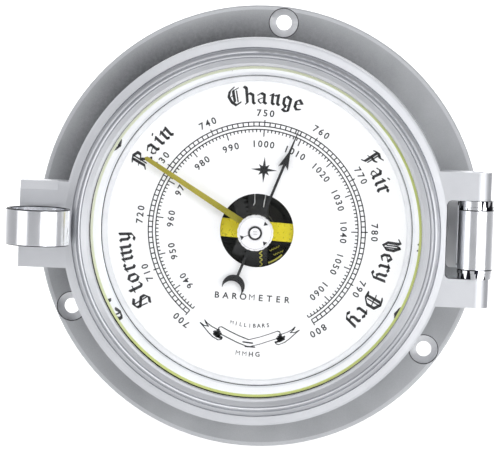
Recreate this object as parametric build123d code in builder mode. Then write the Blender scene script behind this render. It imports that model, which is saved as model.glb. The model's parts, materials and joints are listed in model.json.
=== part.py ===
"""Ship barometer: hinged bezel, set hand, aneroid movement and drum case on a wall flange.

Millimetres. The origin is the centre of the flange's back face, +X is to the viewer's right,
+Z is up, and the dial faces -Y. A depth is a distance forward from the wall, so y = -depth.
"""

import os
from math import acos, cos, pi, radians, sin, tan

from build123d import *

# Planes: FACE is looked at from the front, its offset is a depth. SIDE holds profiles that are
# turned about the Y axis, with radius across and depth up.
FACE = Plane.XZ
SIDE = Plane(origin=(0, 0, 0), x_dir=(1, 0, 0), z_dir=(0, 0, -1))

# Case: wall flange and drum
FLANGE_R = 76.0
FLANGE_T = 3.0
EDGE_ROUND = 0.7
DRUM_R = 63.5
DRUM_BORE_R = 60.0
DRUM_FRONT = 20.0
LEDGE_R = 52.0
COVER_SEAT = 1.6
COVER_SEAT_R = 57.0
WALL_SCREW_PCD = 141.0
WALL_SCREW_R = 2.6
WALL_SCREW_HEAD_R = 5.1
WALL_SCREW_TURN = 4.8

# Bezel: hinged front ring
BEZEL_R = 66.1
BEZEL_BACK = 20.6
BEZEL_FRONT = 30.0
BEZEL_BORE_R = 58.3
OPENING_R = 56.7
GLASS_SEAT = 31.1
GASKET_T = 0.3
GLASS_T = 2.0
GLASS_R = 58.1
LUG_FILLET = 4.0

# Hinge on the right
HINGE_X = 74.7
HINGE_DEPTH = 25.4
KNUCKLE_R = 4.9
HINGE_LUG_HALF = 23.05
SLOT_HALF = 13.4
SLOT_X = 64.7
PIN_R = 2.0
RUNNING_GAP = 0.05
BARREL_R = 6.0
BARREL_HALF = 11.35

# Latch on the left
LATCH_X = -73.5
LATCH_LUG_X = -80.8
LATCH_LUG_HALF = 14.75
LUG_SLOPE_HIGH = 2.9
LUG_SLOPE_DEEP = 1.6
LUG_SLOPE_LONG = 13.0
LATCH_BARREL_R = 11.0
LATCH_BARREL_HALF = 6.2
SHANK_R = 3.0
CAM_HALF_HIGH = 6.5
CAM_HALF_WIDE = 4.0

# Dial and hands
DIAL_FRONT = 22.5
DIAL_T = 0.6
DIAL_R = 52.5
WINDOW_R = 12.6
PRESSURE_HAND_ANGLE = 20.8
SET_HAND_ANGLE = -58.5

# Movement
MODULE = 0.5
PINION_TEETH = 10
SECTOR_TEETH = 100
SECTOR_X = -MODULE * (PINION_TEETH + SECTOR_TEETH) / 2
PLATE_BACK = FLANGE_T
PLATE_T = 1.5
CAPSULE_R = 21.0
SHAFT_Z = -5.0
SHAFT_DEPTH = 11.0
TAIL_PIN_X = SECTOR_X + 3.2
BRIDGE_ANGLE = -3.0
BRIDGE_HALF = 37.0

CENTRE = [(0, 0)]

os.makedirs("parts", exist_ok=True)


def write(piece, label):
    """Labels a finished piece and writes it to its own file."""
    piece.part.label = label
    export_step(piece.part, f"parts/{label}.step")


def polar(radius, clockwise):
    """A place on the face at a clock angle, counted clockwise from the top."""
    return (radius * sin(radians(clockwise)), radius * cos(radians(clockwise)))


def spots_on_circle(radius, count, clockwise):
    """Evenly spaced places on a circle of the face."""
    return [polar(radius, clockwise + 360 * index / count) for index in range(count)]


def turned(spots, *steps, bore=0.0, slot=0.0):
    """Round pieces on axes along Y: each step is (radius, back depth, front depth).

    A bore runs right through. A slot is a screwdriver slot of that depth, in the front end.
    """
    back = min(step[1] for step in steps)
    front = max(step[2] for step in steps)
    head_r = max(step[0] for step in steps)
    with BuildPart() as piece:
        for radius, low, high in steps:
            with BuildSketch(FACE.offset(low)):
                with Locations(*spots):
                    Circle(radius)
            extrude(amount=high - low)
        if bore:
            with BuildSketch(FACE.offset(back)):
                with Locations(*spots):
                    Circle(bore)
            extrude(amount=front - back, mode=Mode.SUBTRACT)
        if slot:
            with BuildSketch(FACE.offset(front - slot)):
                with Locations(*spots):
                    Rectangle(2 * head_r + 1, head_r / 3, rotation=30)
            extrude(amount=slot, mode=Mode.SUBTRACT)
    return piece


def back_screw(spots, shank_r, head_r, head_depth, tip_depth):
    """Countersunk screws put in from behind: heads flush at the back, slots facing the wall."""
    head_t = head_r - shank_r
    with BuildPart() as piece:
        with BuildSketch(FACE.offset(head_depth)):
            with Locations(*spots):
                Circle(head_r)
        extrude(amount=head_t, taper=45)
        with BuildSketch(FACE.offset(head_depth + head_t / 2)):
            with Locations(*spots):
                Circle(shank_r)
        extrude(amount=tip_depth - head_depth - head_t / 2)
        with BuildSketch(FACE.offset(head_depth)):
            with Locations(*spots):
                Rectangle(2 * head_r, head_r / 3, rotation=20)
        extrude(amount=head_t / 2, mode=Mode.SUBTRACT)
    return piece


# ---------------------------------------------------------------------------------------
# Case
# ---------------------------------------------------------------------------------------
FOOT_SCREW_X = 68.6
HINGE_SCREW_Z = 6.0
KEEPER_SCREW_Z = 4.2
COVER_SCREW_CIRCLE_R = 54.5
PLATE_SCREW_CIRCLE_R = 56.5
WALL_SCREWS = spots_on_circle(WALL_SCREW_PCD / 2, 3, WALL_SCREW_TURN)
HINGE_SCREW_SPOTS = [(FOOT_SCREW_X, side * HINGE_SCREW_Z) for side in (1, -1)]
KEEPER_SCREW_SPOTS = [(-FOOT_SCREW_X, side * KEEPER_SCREW_Z) for side in (1, -1)]
COVER_SCREW_SPOTS = spots_on_circle(COVER_SCREW_CIRCLE_R, 3, 30)
PLATE_SCREW_SPOTS = spots_on_circle(PLATE_SCREW_CIRCLE_R, 3, 90)
SMALL_SCREW_R = 1.25
SMALL_HEAD_R = 2.3
COVER_BACK = 0.6
COVER_HEAD_R = 1.85
FOOT_SCREW_R = 1.5
FOOT_HEAD_R = 2.9
FIT = 0.02
HEAD_FIT = 0.08
HEAD_INSET = 0.05
SCREW_HOLE_END = 0.4
SCREW_TIP_GAP = 0.5
COVER_GAP = 0.2
COVER_HOLE_R = 4.2
CASE_GASKET_R = 62.6
CASE_GASKET_BORE_R = 60.9
CASE_GASKET_T = 0.4

with BuildPart() as case_flange:
    with BuildSketch(SIDE):
        with BuildLine():
            Polyline(
                (COVER_SEAT_R, 0),
                (FLANGE_R, 0),
                (FLANGE_R, FLANGE_T - EDGE_ROUND),
            )
            RadiusArc(
                (FLANGE_R, FLANGE_T - EDGE_ROUND),
                (FLANGE_R - EDGE_ROUND, FLANGE_T),
                -EDGE_ROUND,
            )
            Polyline(
                (FLANGE_R - EDGE_ROUND, FLANGE_T),
                (DRUM_R, FLANGE_T),
                (DRUM_R, DRUM_FRONT),
                (DRUM_BORE_R, DRUM_FRONT),
                (DRUM_BORE_R, FLANGE_T),
                (LEDGE_R, FLANGE_T),
                (LEDGE_R, COVER_SEAT),
                (COVER_SEAT_R, COVER_SEAT),
                (COVER_SEAT_R, 0),
            )
        make_face()
    revolve(axis=Axis.Y)
    with BuildSketch(FACE):
        with Locations(*WALL_SCREWS):
            Circle(WALL_SCREW_R)
    extrude(amount=FLANGE_T, mode=Mode.SUBTRACT)
    with BuildSketch(FACE.offset(FLANGE_T)):
        with Locations(*WALL_SCREWS):
            Circle(WALL_SCREW_HEAD_R)
    extrude(amount=WALL_SCREW_R - WALL_SCREW_HEAD_R, taper=45, mode=Mode.SUBTRACT)
    for foot_spots in (HINGE_SCREW_SPOTS, KEEPER_SCREW_SPOTS):
        with BuildSketch(FACE):
            with Locations(*foot_spots):
                Circle(FOOT_SCREW_R + FIT)
        extrude(amount=FLANGE_T, mode=Mode.SUBTRACT)
        with BuildSketch(FACE):
            with Locations(*foot_spots):
                Circle(FOOT_HEAD_R + HEAD_FIT)
        extrude(amount=FOOT_HEAD_R - FOOT_SCREW_R, taper=45, mode=Mode.SUBTRACT)
    with BuildSketch(FACE.offset(COVER_SEAT)):
        with Locations(*COVER_SCREW_SPOTS):
            Circle(SMALL_SCREW_R + FIT)
        with Locations(*PLATE_SCREW_SPOTS):
            Circle(SMALL_SCREW_R + FIT)
    extrude(amount=FLANGE_T - COVER_SEAT, mode=Mode.SUBTRACT)
write(case_flange, "case_flange")

with BuildPart() as back_cover:
    with BuildSketch(FACE.offset(COVER_BACK)):
        Circle(COVER_SEAT_R - COVER_GAP)
        Circle(COVER_HOLE_R, mode=Mode.SUBTRACT)
        with Locations(*COVER_SCREW_SPOTS):
            Circle(SMALL_SCREW_R + FIT, mode=Mode.SUBTRACT)
    extrude(amount=COVER_SEAT - COVER_BACK)
    with BuildSketch(FACE.offset(COVER_BACK)):
        with Locations(*COVER_SCREW_SPOTS):
            Circle(COVER_HEAD_R + HEAD_FIT)
    extrude(amount=COVER_HEAD_R - SMALL_SCREW_R, taper=45, mode=Mode.SUBTRACT)
write(back_cover, "back_cover")

back_screws = back_screw(COVER_SCREW_SPOTS, SMALL_SCREW_R, COVER_HEAD_R, COVER_BACK, FLANGE_T)
write(back_screws, "back_screws")

case_gasket = turned(
    CENTRE, (CASE_GASKET_R, DRUM_FRONT, DRUM_FRONT + CASE_GASKET_T), bore=CASE_GASKET_BORE_R
)
write(case_gasket, "case_gasket")

# ---------------------------------------------------------------------------------------
# Hinge: bracket with the middle knuckle, pin and two washers
# ---------------------------------------------------------------------------------------
FOOT_T = 2.6
FOOT_X = 69.1
FOOT_LONG = 9.2
FOOT_CORNER_R = 1.5
WEB_BACK_X = 68.5
WEB_FOOT_X = 73.6
WEB_OUTER_X = 79.6
WEB_INNER_X = 69.8
WEB_FRONT = HINGE_DEPTH - 3
WEB_KINK = FLANGE_T + 9
HINGE_PLANE = Plane.XY.offset(-BARREL_HALF)

with BuildPart() as hinge_bracket:
    with BuildSketch(FACE.offset(FLANGE_T)):
        with Locations((FOOT_X, 0)):
            RectangleRounded(FOOT_LONG, 2 * BARREL_HALF, FOOT_CORNER_R)
    extrude(amount=FOOT_T)
    with BuildSketch(HINGE_PLANE):
        with Locations((HINGE_X, -HINGE_DEPTH)):
            Circle(BARREL_R)
        with BuildLine():
            Polyline(
                (WEB_BACK_X, -FLANGE_T),
                (WEB_FOOT_X, -FLANGE_T),
                (WEB_OUTER_X, -WEB_FRONT),
                (WEB_INNER_X, -WEB_FRONT),
                (WEB_BACK_X, -WEB_KINK),
                close=True,
            )
        make_face()
    extrude(amount=2 * BARREL_HALF)
    with BuildSketch(HINGE_PLANE):
        with Locations((HINGE_X, -HINGE_DEPTH)):
            Circle(PIN_R)
    extrude(amount=2 * BARREL_HALF, mode=Mode.SUBTRACT)
    with BuildSketch(FACE):
        with Locations(*HINGE_SCREW_SPOTS):
            Circle(FOOT_SCREW_R)
    extrude(amount=FLANGE_T + FOOT_T - SCREW_HOLE_END, mode=Mode.SUBTRACT)
write(hinge_bracket, "hinge_bracket")

FOOT_SCREW_TIP = FLANGE_T + FOOT_T - SCREW_TIP_GAP
hinge_screws = back_screw(HINGE_SCREW_SPOTS, FOOT_SCREW_R, FOOT_HEAD_R, HEAD_INSET, FOOT_SCREW_TIP)
write(hinge_screws, "hinge_screws")

PIN_INSET = 0.3

with BuildPart() as hinge_pin:
    with BuildSketch(Plane.XY.offset(-HINGE_LUG_HALF + PIN_INSET)):
        with Locations((HINGE_X, -HINGE_DEPTH)):
            Circle(PIN_R)
    extrude(amount=2 * (HINGE_LUG_HALF - PIN_INSET))
    chamfer(hinge_pin.edges().filter_by(GeomType.CIRCLE), PIN_INSET)
write(hinge_pin, "hinge_pin")

WASHER_GAP = 0.1
WASHER_STEP = 0.2

with BuildPart() as hinge_washers:
    for height in (BARREL_HALF + RUNNING_GAP, -SLOT_HALF + WASHER_GAP):
        with BuildSketch(Plane.XY.offset(height)):
            with Locations((HINGE_X, -HINGE_DEPTH)):
                Circle(BARREL_R - WASHER_STEP)
                Circle(PIN_R, mode=Mode.SUBTRACT)
        extrude(amount=SLOT_HALF - BARREL_HALF - WASHER_GAP - RUNNING_GAP)
write(hinge_washers, "hinge_washers")

# ---------------------------------------------------------------------------------------
# Catch for the latch cam: a fork that is open to the front and at both ends
# ---------------------------------------------------------------------------------------
PAD_T = 1.5
CAM_GAP = 0.1
FORK_INNER = CAM_HALF_HIGH + CAM_GAP + PAD_T
FORK_WALL = 3.0
FORK_FRONT = 17.0
FORK_BACK = FLANGE_T + 1.6
FORK_END_X = -79.0
FORK_LONG = 14.0
KEEPER_FOOT_X = -73.3
KEEPER_FOOT_LONG = 8.3
KEEPER_CHAMFER = 1.0
PAD_END_X = -78.0
PAD_LONG = 9.0
CAM_BACK = 9.0
CAM_FRONT = 14.5

with BuildPart() as latch_keeper:
    with BuildSketch(Plane.YZ.offset(KEEPER_FOOT_X)):
        with Locations((-(FLANGE_T + FOOT_T / 2), 0)):
            Rectangle(FOOT_T, 2 * (FORK_INNER + FORK_WALL))
    extrude(amount=KEEPER_FOOT_LONG)
    with BuildSketch(Plane.YZ.offset(FORK_END_X)):
        for side in (1, -1):
            with Locations((-(FORK_BACK + FORK_FRONT) / 2, side * (FORK_INNER + FORK_WALL / 2))):
                Rectangle(FORK_FRONT - FORK_BACK, FORK_WALL)
    extrude(amount=FORK_LONG)
    outer_corners = latch_keeper.edges().filter_by(Axis.Y).group_by(Axis.X)[0]
    chamfer(outer_corners, KEEPER_CHAMFER)
    with BuildSketch(FACE):
        with Locations(*KEEPER_SCREW_SPOTS):
            Circle(FOOT_SCREW_R)
    extrude(amount=FLANGE_T + FOOT_T - SCREW_HOLE_END, mode=Mode.SUBTRACT)
write(latch_keeper, "latch_keeper")

with BuildPart() as keeper_pads:
    with BuildSketch(Plane.YZ.offset(PAD_END_X)):
        for side in (1, -1):
            with Locations((-(CAM_BACK + CAM_FRONT) / 2, side * (FORK_INNER - PAD_T / 2))):
                Rectangle(CAM_FRONT - CAM_BACK, PAD_T)
    extrude(amount=PAD_LONG)
write(keeper_pads, "keeper_pads")

keeper_screws = back_screw(KEEPER_SCREW_SPOTS, FOOT_SCREW_R, FOOT_HEAD_R, HEAD_INSET, FOOT_SCREW_TIP)
write(keeper_screws, "keeper_screws")

# ---------------------------------------------------------------------------------------
# Bezel: one casting with two hinge arms on the right and the latch lug on the left
# ---------------------------------------------------------------------------------------
LUG_BACK = 21.0
SLOT_ROUND = 1.8
CAST_ROUND = 0.6
GROOVE_R = 62.8
BEAD_R = 61.3
BEAD_FRONT = 33.0
CREST_R = 60.3
CREST_FRONT = 33.8
SLOPE_R = 57.8
LIP_FRONT = 32.3

with BuildPart() as bezel_ring:
    with BuildSketch(FACE.offset(LUG_BACK)) as outline:
        Circle(BEZEL_R)
        with Locations((HINGE_X / 2 + KNUCKLE_R / 2, 0)):
            Rectangle(HINGE_X + KNUCKLE_R, 2 * HINGE_LUG_HALF)
        with Locations((LATCH_LUG_X / 2, 0)):
            Rectangle(-LATCH_LUG_X, 2 * LATCH_LUG_HALF)
        roots = [v for v in outline.vertices() if abs(Vector(v.X, 0, v.Z).length - BEZEL_R) < 0.01]
        fillet(roots, LUG_FILLET)
    extrude(amount=BEZEL_FRONT - LUG_BACK)
    knuckle_edges = bezel_ring.edges().filter_by(Axis.Z).group_by(Axis.X)[-1]
    fillet(knuckle_edges, KNUCKLE_R - CAST_ROUND)
    with BuildSketch(Plane.YZ.offset(LATCH_LUG_X)):
        with BuildLine():
            Polyline(
                (-BEZEL_FRONT, LATCH_LUG_HALF - LUG_SLOPE_HIGH),
                (-BEZEL_FRONT + LUG_SLOPE_DEEP, LATCH_LUG_HALF),
                (-BEZEL_FRONT, LATCH_LUG_HALF),
                close=True,
            )
        make_face()
    extrude(amount=LUG_SLOPE_LONG, mode=Mode.SUBTRACT)
    with BuildSketch(SIDE):
        with BuildLine():
            Polyline(
                (OPENING_R, GLASS_SEAT),
                (BEZEL_BORE_R, GLASS_SEAT),
                (BEZEL_BORE_R, BEZEL_BACK),
                (BEZEL_R - EDGE_ROUND, BEZEL_BACK),
                (BEZEL_R - EDGE_ROUND, BEZEL_FRONT),
                (GROOVE_R + 0.3, BEZEL_FRONT + 0.3),
                (GROOVE_R, BEZEL_FRONT),
                (GROOVE_R - 0.1, BEZEL_FRONT + 1.2),
            )
            RadiusArc((GROOVE_R - 0.1, BEZEL_FRONT + 1.2), (BEAD_R, BEAD_FRONT), -2.0)
            Polyline(
                (BEAD_R, BEAD_FRONT),
                (BEAD_R - 0.2, BEAD_FRONT - 0.3),
                (CREST_R + 0.3, CREST_FRONT - 0.2),
                (CREST_R, CREST_FRONT),
                (CREST_R - 0.4, CREST_FRONT - 0.1),
                (CREST_R - 0.5, CREST_FRONT - 0.6),
                (CREST_R - 0.8, CREST_FRONT - 0.3),
                (SLOPE_R, LIP_FRONT),
                (OPENING_R + 0.3, LIP_FRONT - 0.1),
                (OPENING_R, LIP_FRONT - 0.4),
                (OPENING_R, GLASS_SEAT),
            )
        make_face()
    revolve(axis=Axis.Y)
    with BuildSketch(FACE.offset(BEZEL_BACK)):
        Circle(BEZEL_BORE_R)
    extrude(amount=GLASS_SEAT - BEZEL_BACK, mode=Mode.SUBTRACT)
    with BuildSketch(FACE.offset(BEZEL_BACK)):
        Circle(OPENING_R)
    extrude(amount=CREST_FRONT - BEZEL_BACK + 1, mode=Mode.SUBTRACT)
    with BuildSketch(FACE.offset(BEZEL_BACK - 1)):
        with Locations((SLOT_X + 10, 0)):
            RectangleRounded(20, 2 * SLOT_HALF, SLOT_ROUND)
        with Locations((SLOT_X + 15, 0)):
            Rectangle(20, 2 * SLOT_HALF)
        with Locations((LATCH_X, 0)):
            Circle(SHANK_R + RUNNING_GAP)
    extrude(amount=BEZEL_FRONT - BEZEL_BACK + 3, mode=Mode.SUBTRACT)
    with BuildSketch(Plane.XY.offset(-HINGE_LUG_HALF)):
        with Locations((HINGE_X, -HINGE_DEPTH)):
            Circle(PIN_R + RUNNING_GAP)
    extrude(amount=2 * HINGE_LUG_HALF, mode=Mode.SUBTRACT)
write(bezel_ring, "bezel_ring")

# ---------------------------------------------------------------------------------------
# Glass, its seal, and the polished cone that holds it from behind
# ---------------------------------------------------------------------------------------
GLASS_FRONT = GLASS_SEAT - GASKET_T
GLASS_BACK = GLASS_FRONT - GLASS_T
BUSH_R = 3.1

glass_pane = turned(CENTRE, (GLASS_R, GLASS_BACK, GLASS_FRONT), bore=BUSH_R + 0.1)
write(glass_pane, "glass_pane")

glass_gasket = turned(CENTRE, (GLASS_R, GLASS_FRONT, GLASS_SEAT), bore=OPENING_R + 0.1)
write(glass_gasket, "glass_gasket")

CONE_WIDE_R = 55.3
CONE_NARROW_R = 53.5
CONE_BACK = 23.3

with BuildPart() as reflector_ring:
    with BuildSketch(SIDE):
        with BuildLine():
            Polyline(
                (CONE_WIDE_R, GLASS_BACK),
                (BEZEL_BORE_R, GLASS_BACK),
                (BEZEL_BORE_R, GLASS_BACK - 3.5),
                (CONE_NARROW_R + 1.0, CONE_BACK),
                (CONE_NARROW_R, CONE_BACK),
                (CONE_WIDE_R, GLASS_BACK),
            )
        make_face()
    revolve(axis=Axis.Y)
write(reflector_ring, "reflector_ring")

# ---------------------------------------------------------------------------------------
# Set hand: knob, spindle and marker hand, which turn in a bush through the glass
# ---------------------------------------------------------------------------------------
SPINDLE_R = 1.2
KNOB_R = 6.15
KNOB_BACK = 32.0
KNOB_FRONT = 34.6
KNOB_CHAMFER = 0.4
KNOB_RECESS_R = 2.5
KNOB_RECESS_DEEP = 0.5
KNOB_FLUTES = 20
FLUTE_R = 0.6
FLUTE_BITE = 0.15
POCKET_ANGLES = (47, 135, 250)
POCKET_AT_R = 4.8
POCKET_R = 0.7
POCKET_DEEP = 0.4
SET_HAND_BACK = 25.9
SET_HAND_T = 0.4

knob_bush = turned(
    CENTRE,
    (BUSH_R, GLASS_BACK - 1.2, GLASS_FRONT),
    (4.6, GLASS_FRONT, GLASS_FRONT + 0.7),
    bore=SPINDLE_R + RUNNING_GAP,
)
write(knob_bush, "knob_bush")

NUT_HALF = 4.5
NUT_T = 0.9

with BuildPart() as bush_nut:
    with BuildSketch(FACE.offset(GLASS_BACK - NUT_T)):
        RegularPolygon(NUT_HALF, 6, major_radius=False)
        Circle(BUSH_R, mode=Mode.SUBTRACT)
    extrude(amount=NUT_T)
write(bush_nut, "bush_nut")

friction_washer = turned(CENTRE, (4.2, GLASS_FRONT + 0.75, KNOB_BACK - 0.05), bore=1.6)
write(friction_washer, "friction_washer")

with BuildPart() as set_knob:
    with BuildSketch(FACE.offset(KNOB_BACK)):
        Circle(KNOB_R)
    extrude(amount=KNOB_FRONT - KNOB_BACK)
    chamfer(set_knob.edges().group_by(Axis.Y)[0], KNOB_CHAMFER)
    with BuildSketch(FACE.offset(KNOB_BACK)):
        Circle(SPINDLE_R)
        with Locations(*spots_on_circle(KNOB_R + FLUTE_R - FLUTE_BITE, KNOB_FLUTES, 0)):
            Circle(FLUTE_R)
    extrude(amount=KNOB_FRONT - KNOB_BACK, mode=Mode.SUBTRACT)
    with BuildSketch(FACE.offset(KNOB_FRONT - KNOB_RECESS_DEEP)):
        Circle(KNOB_RECESS_R)
    extrude(amount=KNOB_RECESS_DEEP, mode=Mode.SUBTRACT)
    with BuildSketch(FACE.offset(KNOB_FRONT - POCKET_DEEP)):
        for angle in POCKET_ANGLES:
            with Locations(polar(POCKET_AT_R, angle)):
                RegularPolygon(POCKET_R, 3, rotation=270 - angle)
    extrude(amount=POCKET_DEEP, mode=Mode.SUBTRACT)
write(set_knob, "set_knob")

knob_screw = turned(CENTRE, (2.1, KNOB_FRONT - 0.45, KNOB_FRONT + 0.3), slot=0.25)
write(knob_screw, "knob_screw")

set_spindle = turned(CENTRE, (SPINDLE_R, 25.0, KNOB_FRONT - 0.55))
write(set_spindle, "set_spindle")

with BuildPart() as set_hand:
    with BuildSketch(FACE.offset(SET_HAND_BACK)) as blade:
        Circle(2.6)
        with BuildLine():
            Polyline(
                polar(1.15, SET_HAND_ANGLE - 90),
                polar(45.0, SET_HAND_ANGLE - 0.95),
                polar(45.6, SET_HAND_ANGLE),
                polar(45.0, SET_HAND_ANGLE + 0.95),
                polar(1.15, SET_HAND_ANGLE + 90),
                close=True,
            )
        make_face()
        Circle(SPINDLE_R, mode=Mode.SUBTRACT)
    extrude(amount=SET_HAND_T)
write(set_hand, "set_hand")

set_hand_nut = turned(CENTRE, (2.0, SET_HAND_BACK - 0.7, SET_HAND_BACK), bore=SPINDLE_R)
write(set_hand_nut, "set_hand_nut")

# ---------------------------------------------------------------------------------------
# Latch: barrel-shaped turn knob in front of the lug, oval cam behind it
# ---------------------------------------------------------------------------------------
BARREL_DEPTH = BEZEL_FRONT + 0.3 + LATCH_BARREL_R
RECESS_R = 9.6
RECESS_DEEP = 2.2
SHANK_GRIP = 6.0

with BuildPart() as latch_barrel:
    with BuildSketch(Plane.XY.offset(-LATCH_BARREL_HALF)):
        with Locations((LATCH_X, -BARREL_DEPTH)):
            Circle(LATCH_BARREL_R)
    extrude(amount=2 * LATCH_BARREL_HALF)
    chamfer(latch_barrel.edges().filter_by(GeomType.CIRCLE), 0.4)
    for height in (LATCH_BARREL_HALF - RECESS_DEEP, -LATCH_BARREL_HALF):
        with BuildSketch(Plane.XY.offset(height)):
            with Locations((LATCH_X, -BARREL_DEPTH)):
                Circle(RECESS_R)
        extrude(amount=RECESS_DEEP, mode=Mode.SUBTRACT)
    with BuildSketch(FACE.offset(BEZEL_FRONT)):
        with Locations((LATCH_X, 0)):
            Circle(SHANK_R)
    extrude(amount=SHANK_GRIP, mode=Mode.SUBTRACT)
write(latch_barrel, "latch_barrel")

latch_spot = [(LATCH_X, 0)]
CAM_SEAT_R = 1.9
CAM_START = CAM_BACK + 0.4
latch_shank = turned(
    latch_spot,
    (CAM_SEAT_R, CAM_START, CAM_FRONT),
    (SHANK_R, CAM_FRONT, BEZEL_FRONT + SHANK_GRIP),
)
write(latch_shank, "latch_shank")

latch_washer = turned(latch_spot, (5.5, LUG_BACK - 1.0, LUG_BACK - 0.1), bore=SHANK_R + RUNNING_GAP)
write(latch_washer, "latch_washer")

with BuildPart() as latch_cam:
    with BuildSketch(FACE.offset(CAM_START)):
        with Locations((LATCH_X, 0)):
            Ellipse(CAM_HALF_WIDE, CAM_HALF_HIGH)
            Circle(CAM_SEAT_R, mode=Mode.SUBTRACT)
    extrude(amount=CAM_FRONT - CAM_START)
write(latch_cam, "latch_cam")

# ---------------------------------------------------------------------------------------
# Dial: printed plate on a carrier, held by a turned-over ring
# ---------------------------------------------------------------------------------------
CARRIER_T = 1.2
CARRIER_BACK = DIAL_FRONT - DIAL_T - CARRIER_T
PLATE_FRONT = PLATE_BACK + PLATE_T
DIAL_RING_R = 53.0
PILLAR_CIRCLE_R = 46.0
PILLAR_R = 2.8
PILLAR_THREAD = 4.0
CARRIER_HOLE_R = WINDOW_R + 0.8
RING_LIP = 0.3
RING_FRONT = DIAL_FRONT + 0.6
PILLAR_SPOTS = spots_on_circle(PILLAR_CIRCLE_R, 3, -30)

dial_plate = turned(CENTRE, (DIAL_R, DIAL_FRONT - DIAL_T, DIAL_FRONT), bore=WINDOW_R)
write(dial_plate, "dial_plate")

with BuildPart() as dial_ring:
    with BuildSketch(SIDE):
        with BuildLine():
            Polyline(
                (DIAL_R, CARRIER_BACK),
                (DIAL_RING_R, CARRIER_BACK),
                (DIAL_RING_R, RING_FRONT - RING_LIP),
                (DIAL_RING_R - RING_LIP, RING_FRONT),
                (DIAL_R - 1.0, RING_FRONT),
                (DIAL_R - 1.5, DIAL_FRONT),
                (DIAL_R, DIAL_FRONT),
                (DIAL_R, CARRIER_BACK),
            )
        make_face()
    revolve(axis=Axis.Y)
write(dial_ring, "dial_ring")

with BuildPart() as dial_carrier:
    with BuildSketch(FACE.offset(CARRIER_BACK)):
        Circle(DIAL_R)
        Circle(CARRIER_HOLE_R, mode=Mode.SUBTRACT)
        with Locations(*PILLAR_SPOTS):
            Circle(SMALL_SCREW_R + FIT, mode=Mode.SUBTRACT)
    extrude(amount=CARRIER_T)
    with BuildSketch(FACE.offset(CARRIER_BACK + CARRIER_T)):
        with Locations(*PILLAR_SPOTS):
            Circle(SMALL_HEAD_R + FIT)
    extrude(amount=SMALL_SCREW_R - SMALL_HEAD_R, taper=45, mode=Mode.SUBTRACT)
write(dial_carrier, "dial_carrier")

with BuildPart() as carrier_screws:
    with BuildSketch(FACE.offset(CARRIER_BACK + CARRIER_T)):
        with Locations(*PILLAR_SPOTS):
            Circle(SMALL_HEAD_R)
    extrude(amount=SMALL_SCREW_R - SMALL_HEAD_R, taper=45)
    with BuildSketch(FACE.offset(CARRIER_BACK - PILLAR_THREAD)):
        with Locations(*PILLAR_SPOTS):
            Circle(SMALL_SCREW_R)
    extrude(amount=CARRIER_T + PILLAR_THREAD - SCREW_TIP_GAP)
write(carrier_screws, "carrier_screws")

with BuildPart() as carrier_pillars:
    with BuildSketch(FACE.offset(PLATE_FRONT)):
        with Locations(*PILLAR_SPOTS):
            Circle(PILLAR_R)
    extrude(amount=CARRIER_BACK - PLATE_FRONT)
    with BuildSketch(FACE.offset(CARRIER_BACK - PILLAR_THREAD)):
        with Locations(*PILLAR_SPOTS):
            Circle(SMALL_SCREW_R)
    extrude(amount=PILLAR_THREAD, mode=Mode.SUBTRACT)
write(carrier_pillars, "carrier_pillars")

# ---------------------------------------------------------------------------------------
# Movement plate, capsule and adjusting screw
# ---------------------------------------------------------------------------------------
BUSH_BORE_R = 1.55
BUSH_BODY_R = 3.5
BUSH_FLANGE_R = 5.0
BUSH_STANDOFF = 0.5
ADJUSTER_BACK = 0.6
ADJUSTER_HEAD_R = 3.2
ADJUSTER_HEAD_T = 1.4
ADJUSTER_SLOT_W = 0.9
ADJUSTER_SLOT_DEEP = 0.7
CAPSULE_BACK = PLATE_FRONT + 0.4
CAPSULE_MID = CAPSULE_BACK + 1.9
CAPSULE_FRONT = CAPSULE_MID + 1.9
SHELL_T = 0.4
BOSS_R = 2.6
BOSS_FRONT = 9.6

with BuildPart() as movement_plate:
    with BuildSketch(FACE.offset(PLATE_BACK)):
        Circle(DRUM_BORE_R - COVER_GAP)
        Circle(BUSH_BODY_R, mode=Mode.SUBTRACT)
        with Locations(*PLATE_SCREW_SPOTS):
            Circle(SMALL_SCREW_R, mode=Mode.SUBTRACT)
    extrude(amount=PLATE_T)
write(movement_plate, "movement_plate")

plate_screws = turned(
    PLATE_SCREW_SPOTS,
    (SMALL_SCREW_R, COVER_SEAT + 0.2, PLATE_FRONT),
    (SMALL_HEAD_R, PLATE_FRONT, PLATE_FRONT + 1.3),
    slot=0.6,
)
write(plate_screws, "plate_screws")


def capsule_half(rim, crown, ripple):
    """Profile of one corrugated capsule shell, from its boss hole to its rim."""
    return [
        (BOSS_R + 0.3, crown),
        (9.0, crown),
        (10.0, crown - ripple),
        (13.0, crown - ripple),
        (14.0, crown),
        (17.0, crown),
        (CAPSULE_R - 1.5, rim),
        (CAPSULE_R, rim),
    ]


def capsule_shell(rim, crown, ripple, thickness):
    """A corrugated shell of even thickness, turned about the Y axis."""
    outer = capsule_half(rim, crown, ripple)
    inner = [(radius, depth - thickness) for radius, depth in reversed(outer)]
    with BuildPart() as shell:
        with BuildSketch(SIDE):
            with BuildLine():
                Polyline(*outer, *inner, close=True)
            make_face()
        revolve(axis=Axis.Y)
    return shell


capsule_front_half = capsule_shell(CAPSULE_MID + SHELL_T, CAPSULE_FRONT, 0.5, SHELL_T)
write(capsule_front_half, "capsule_front_half")

capsule_rear_half = capsule_shell(CAPSULE_MID, CAPSULE_BACK + SHELL_T, -0.5, SHELL_T)
write(capsule_rear_half, "capsule_rear_half")

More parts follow.
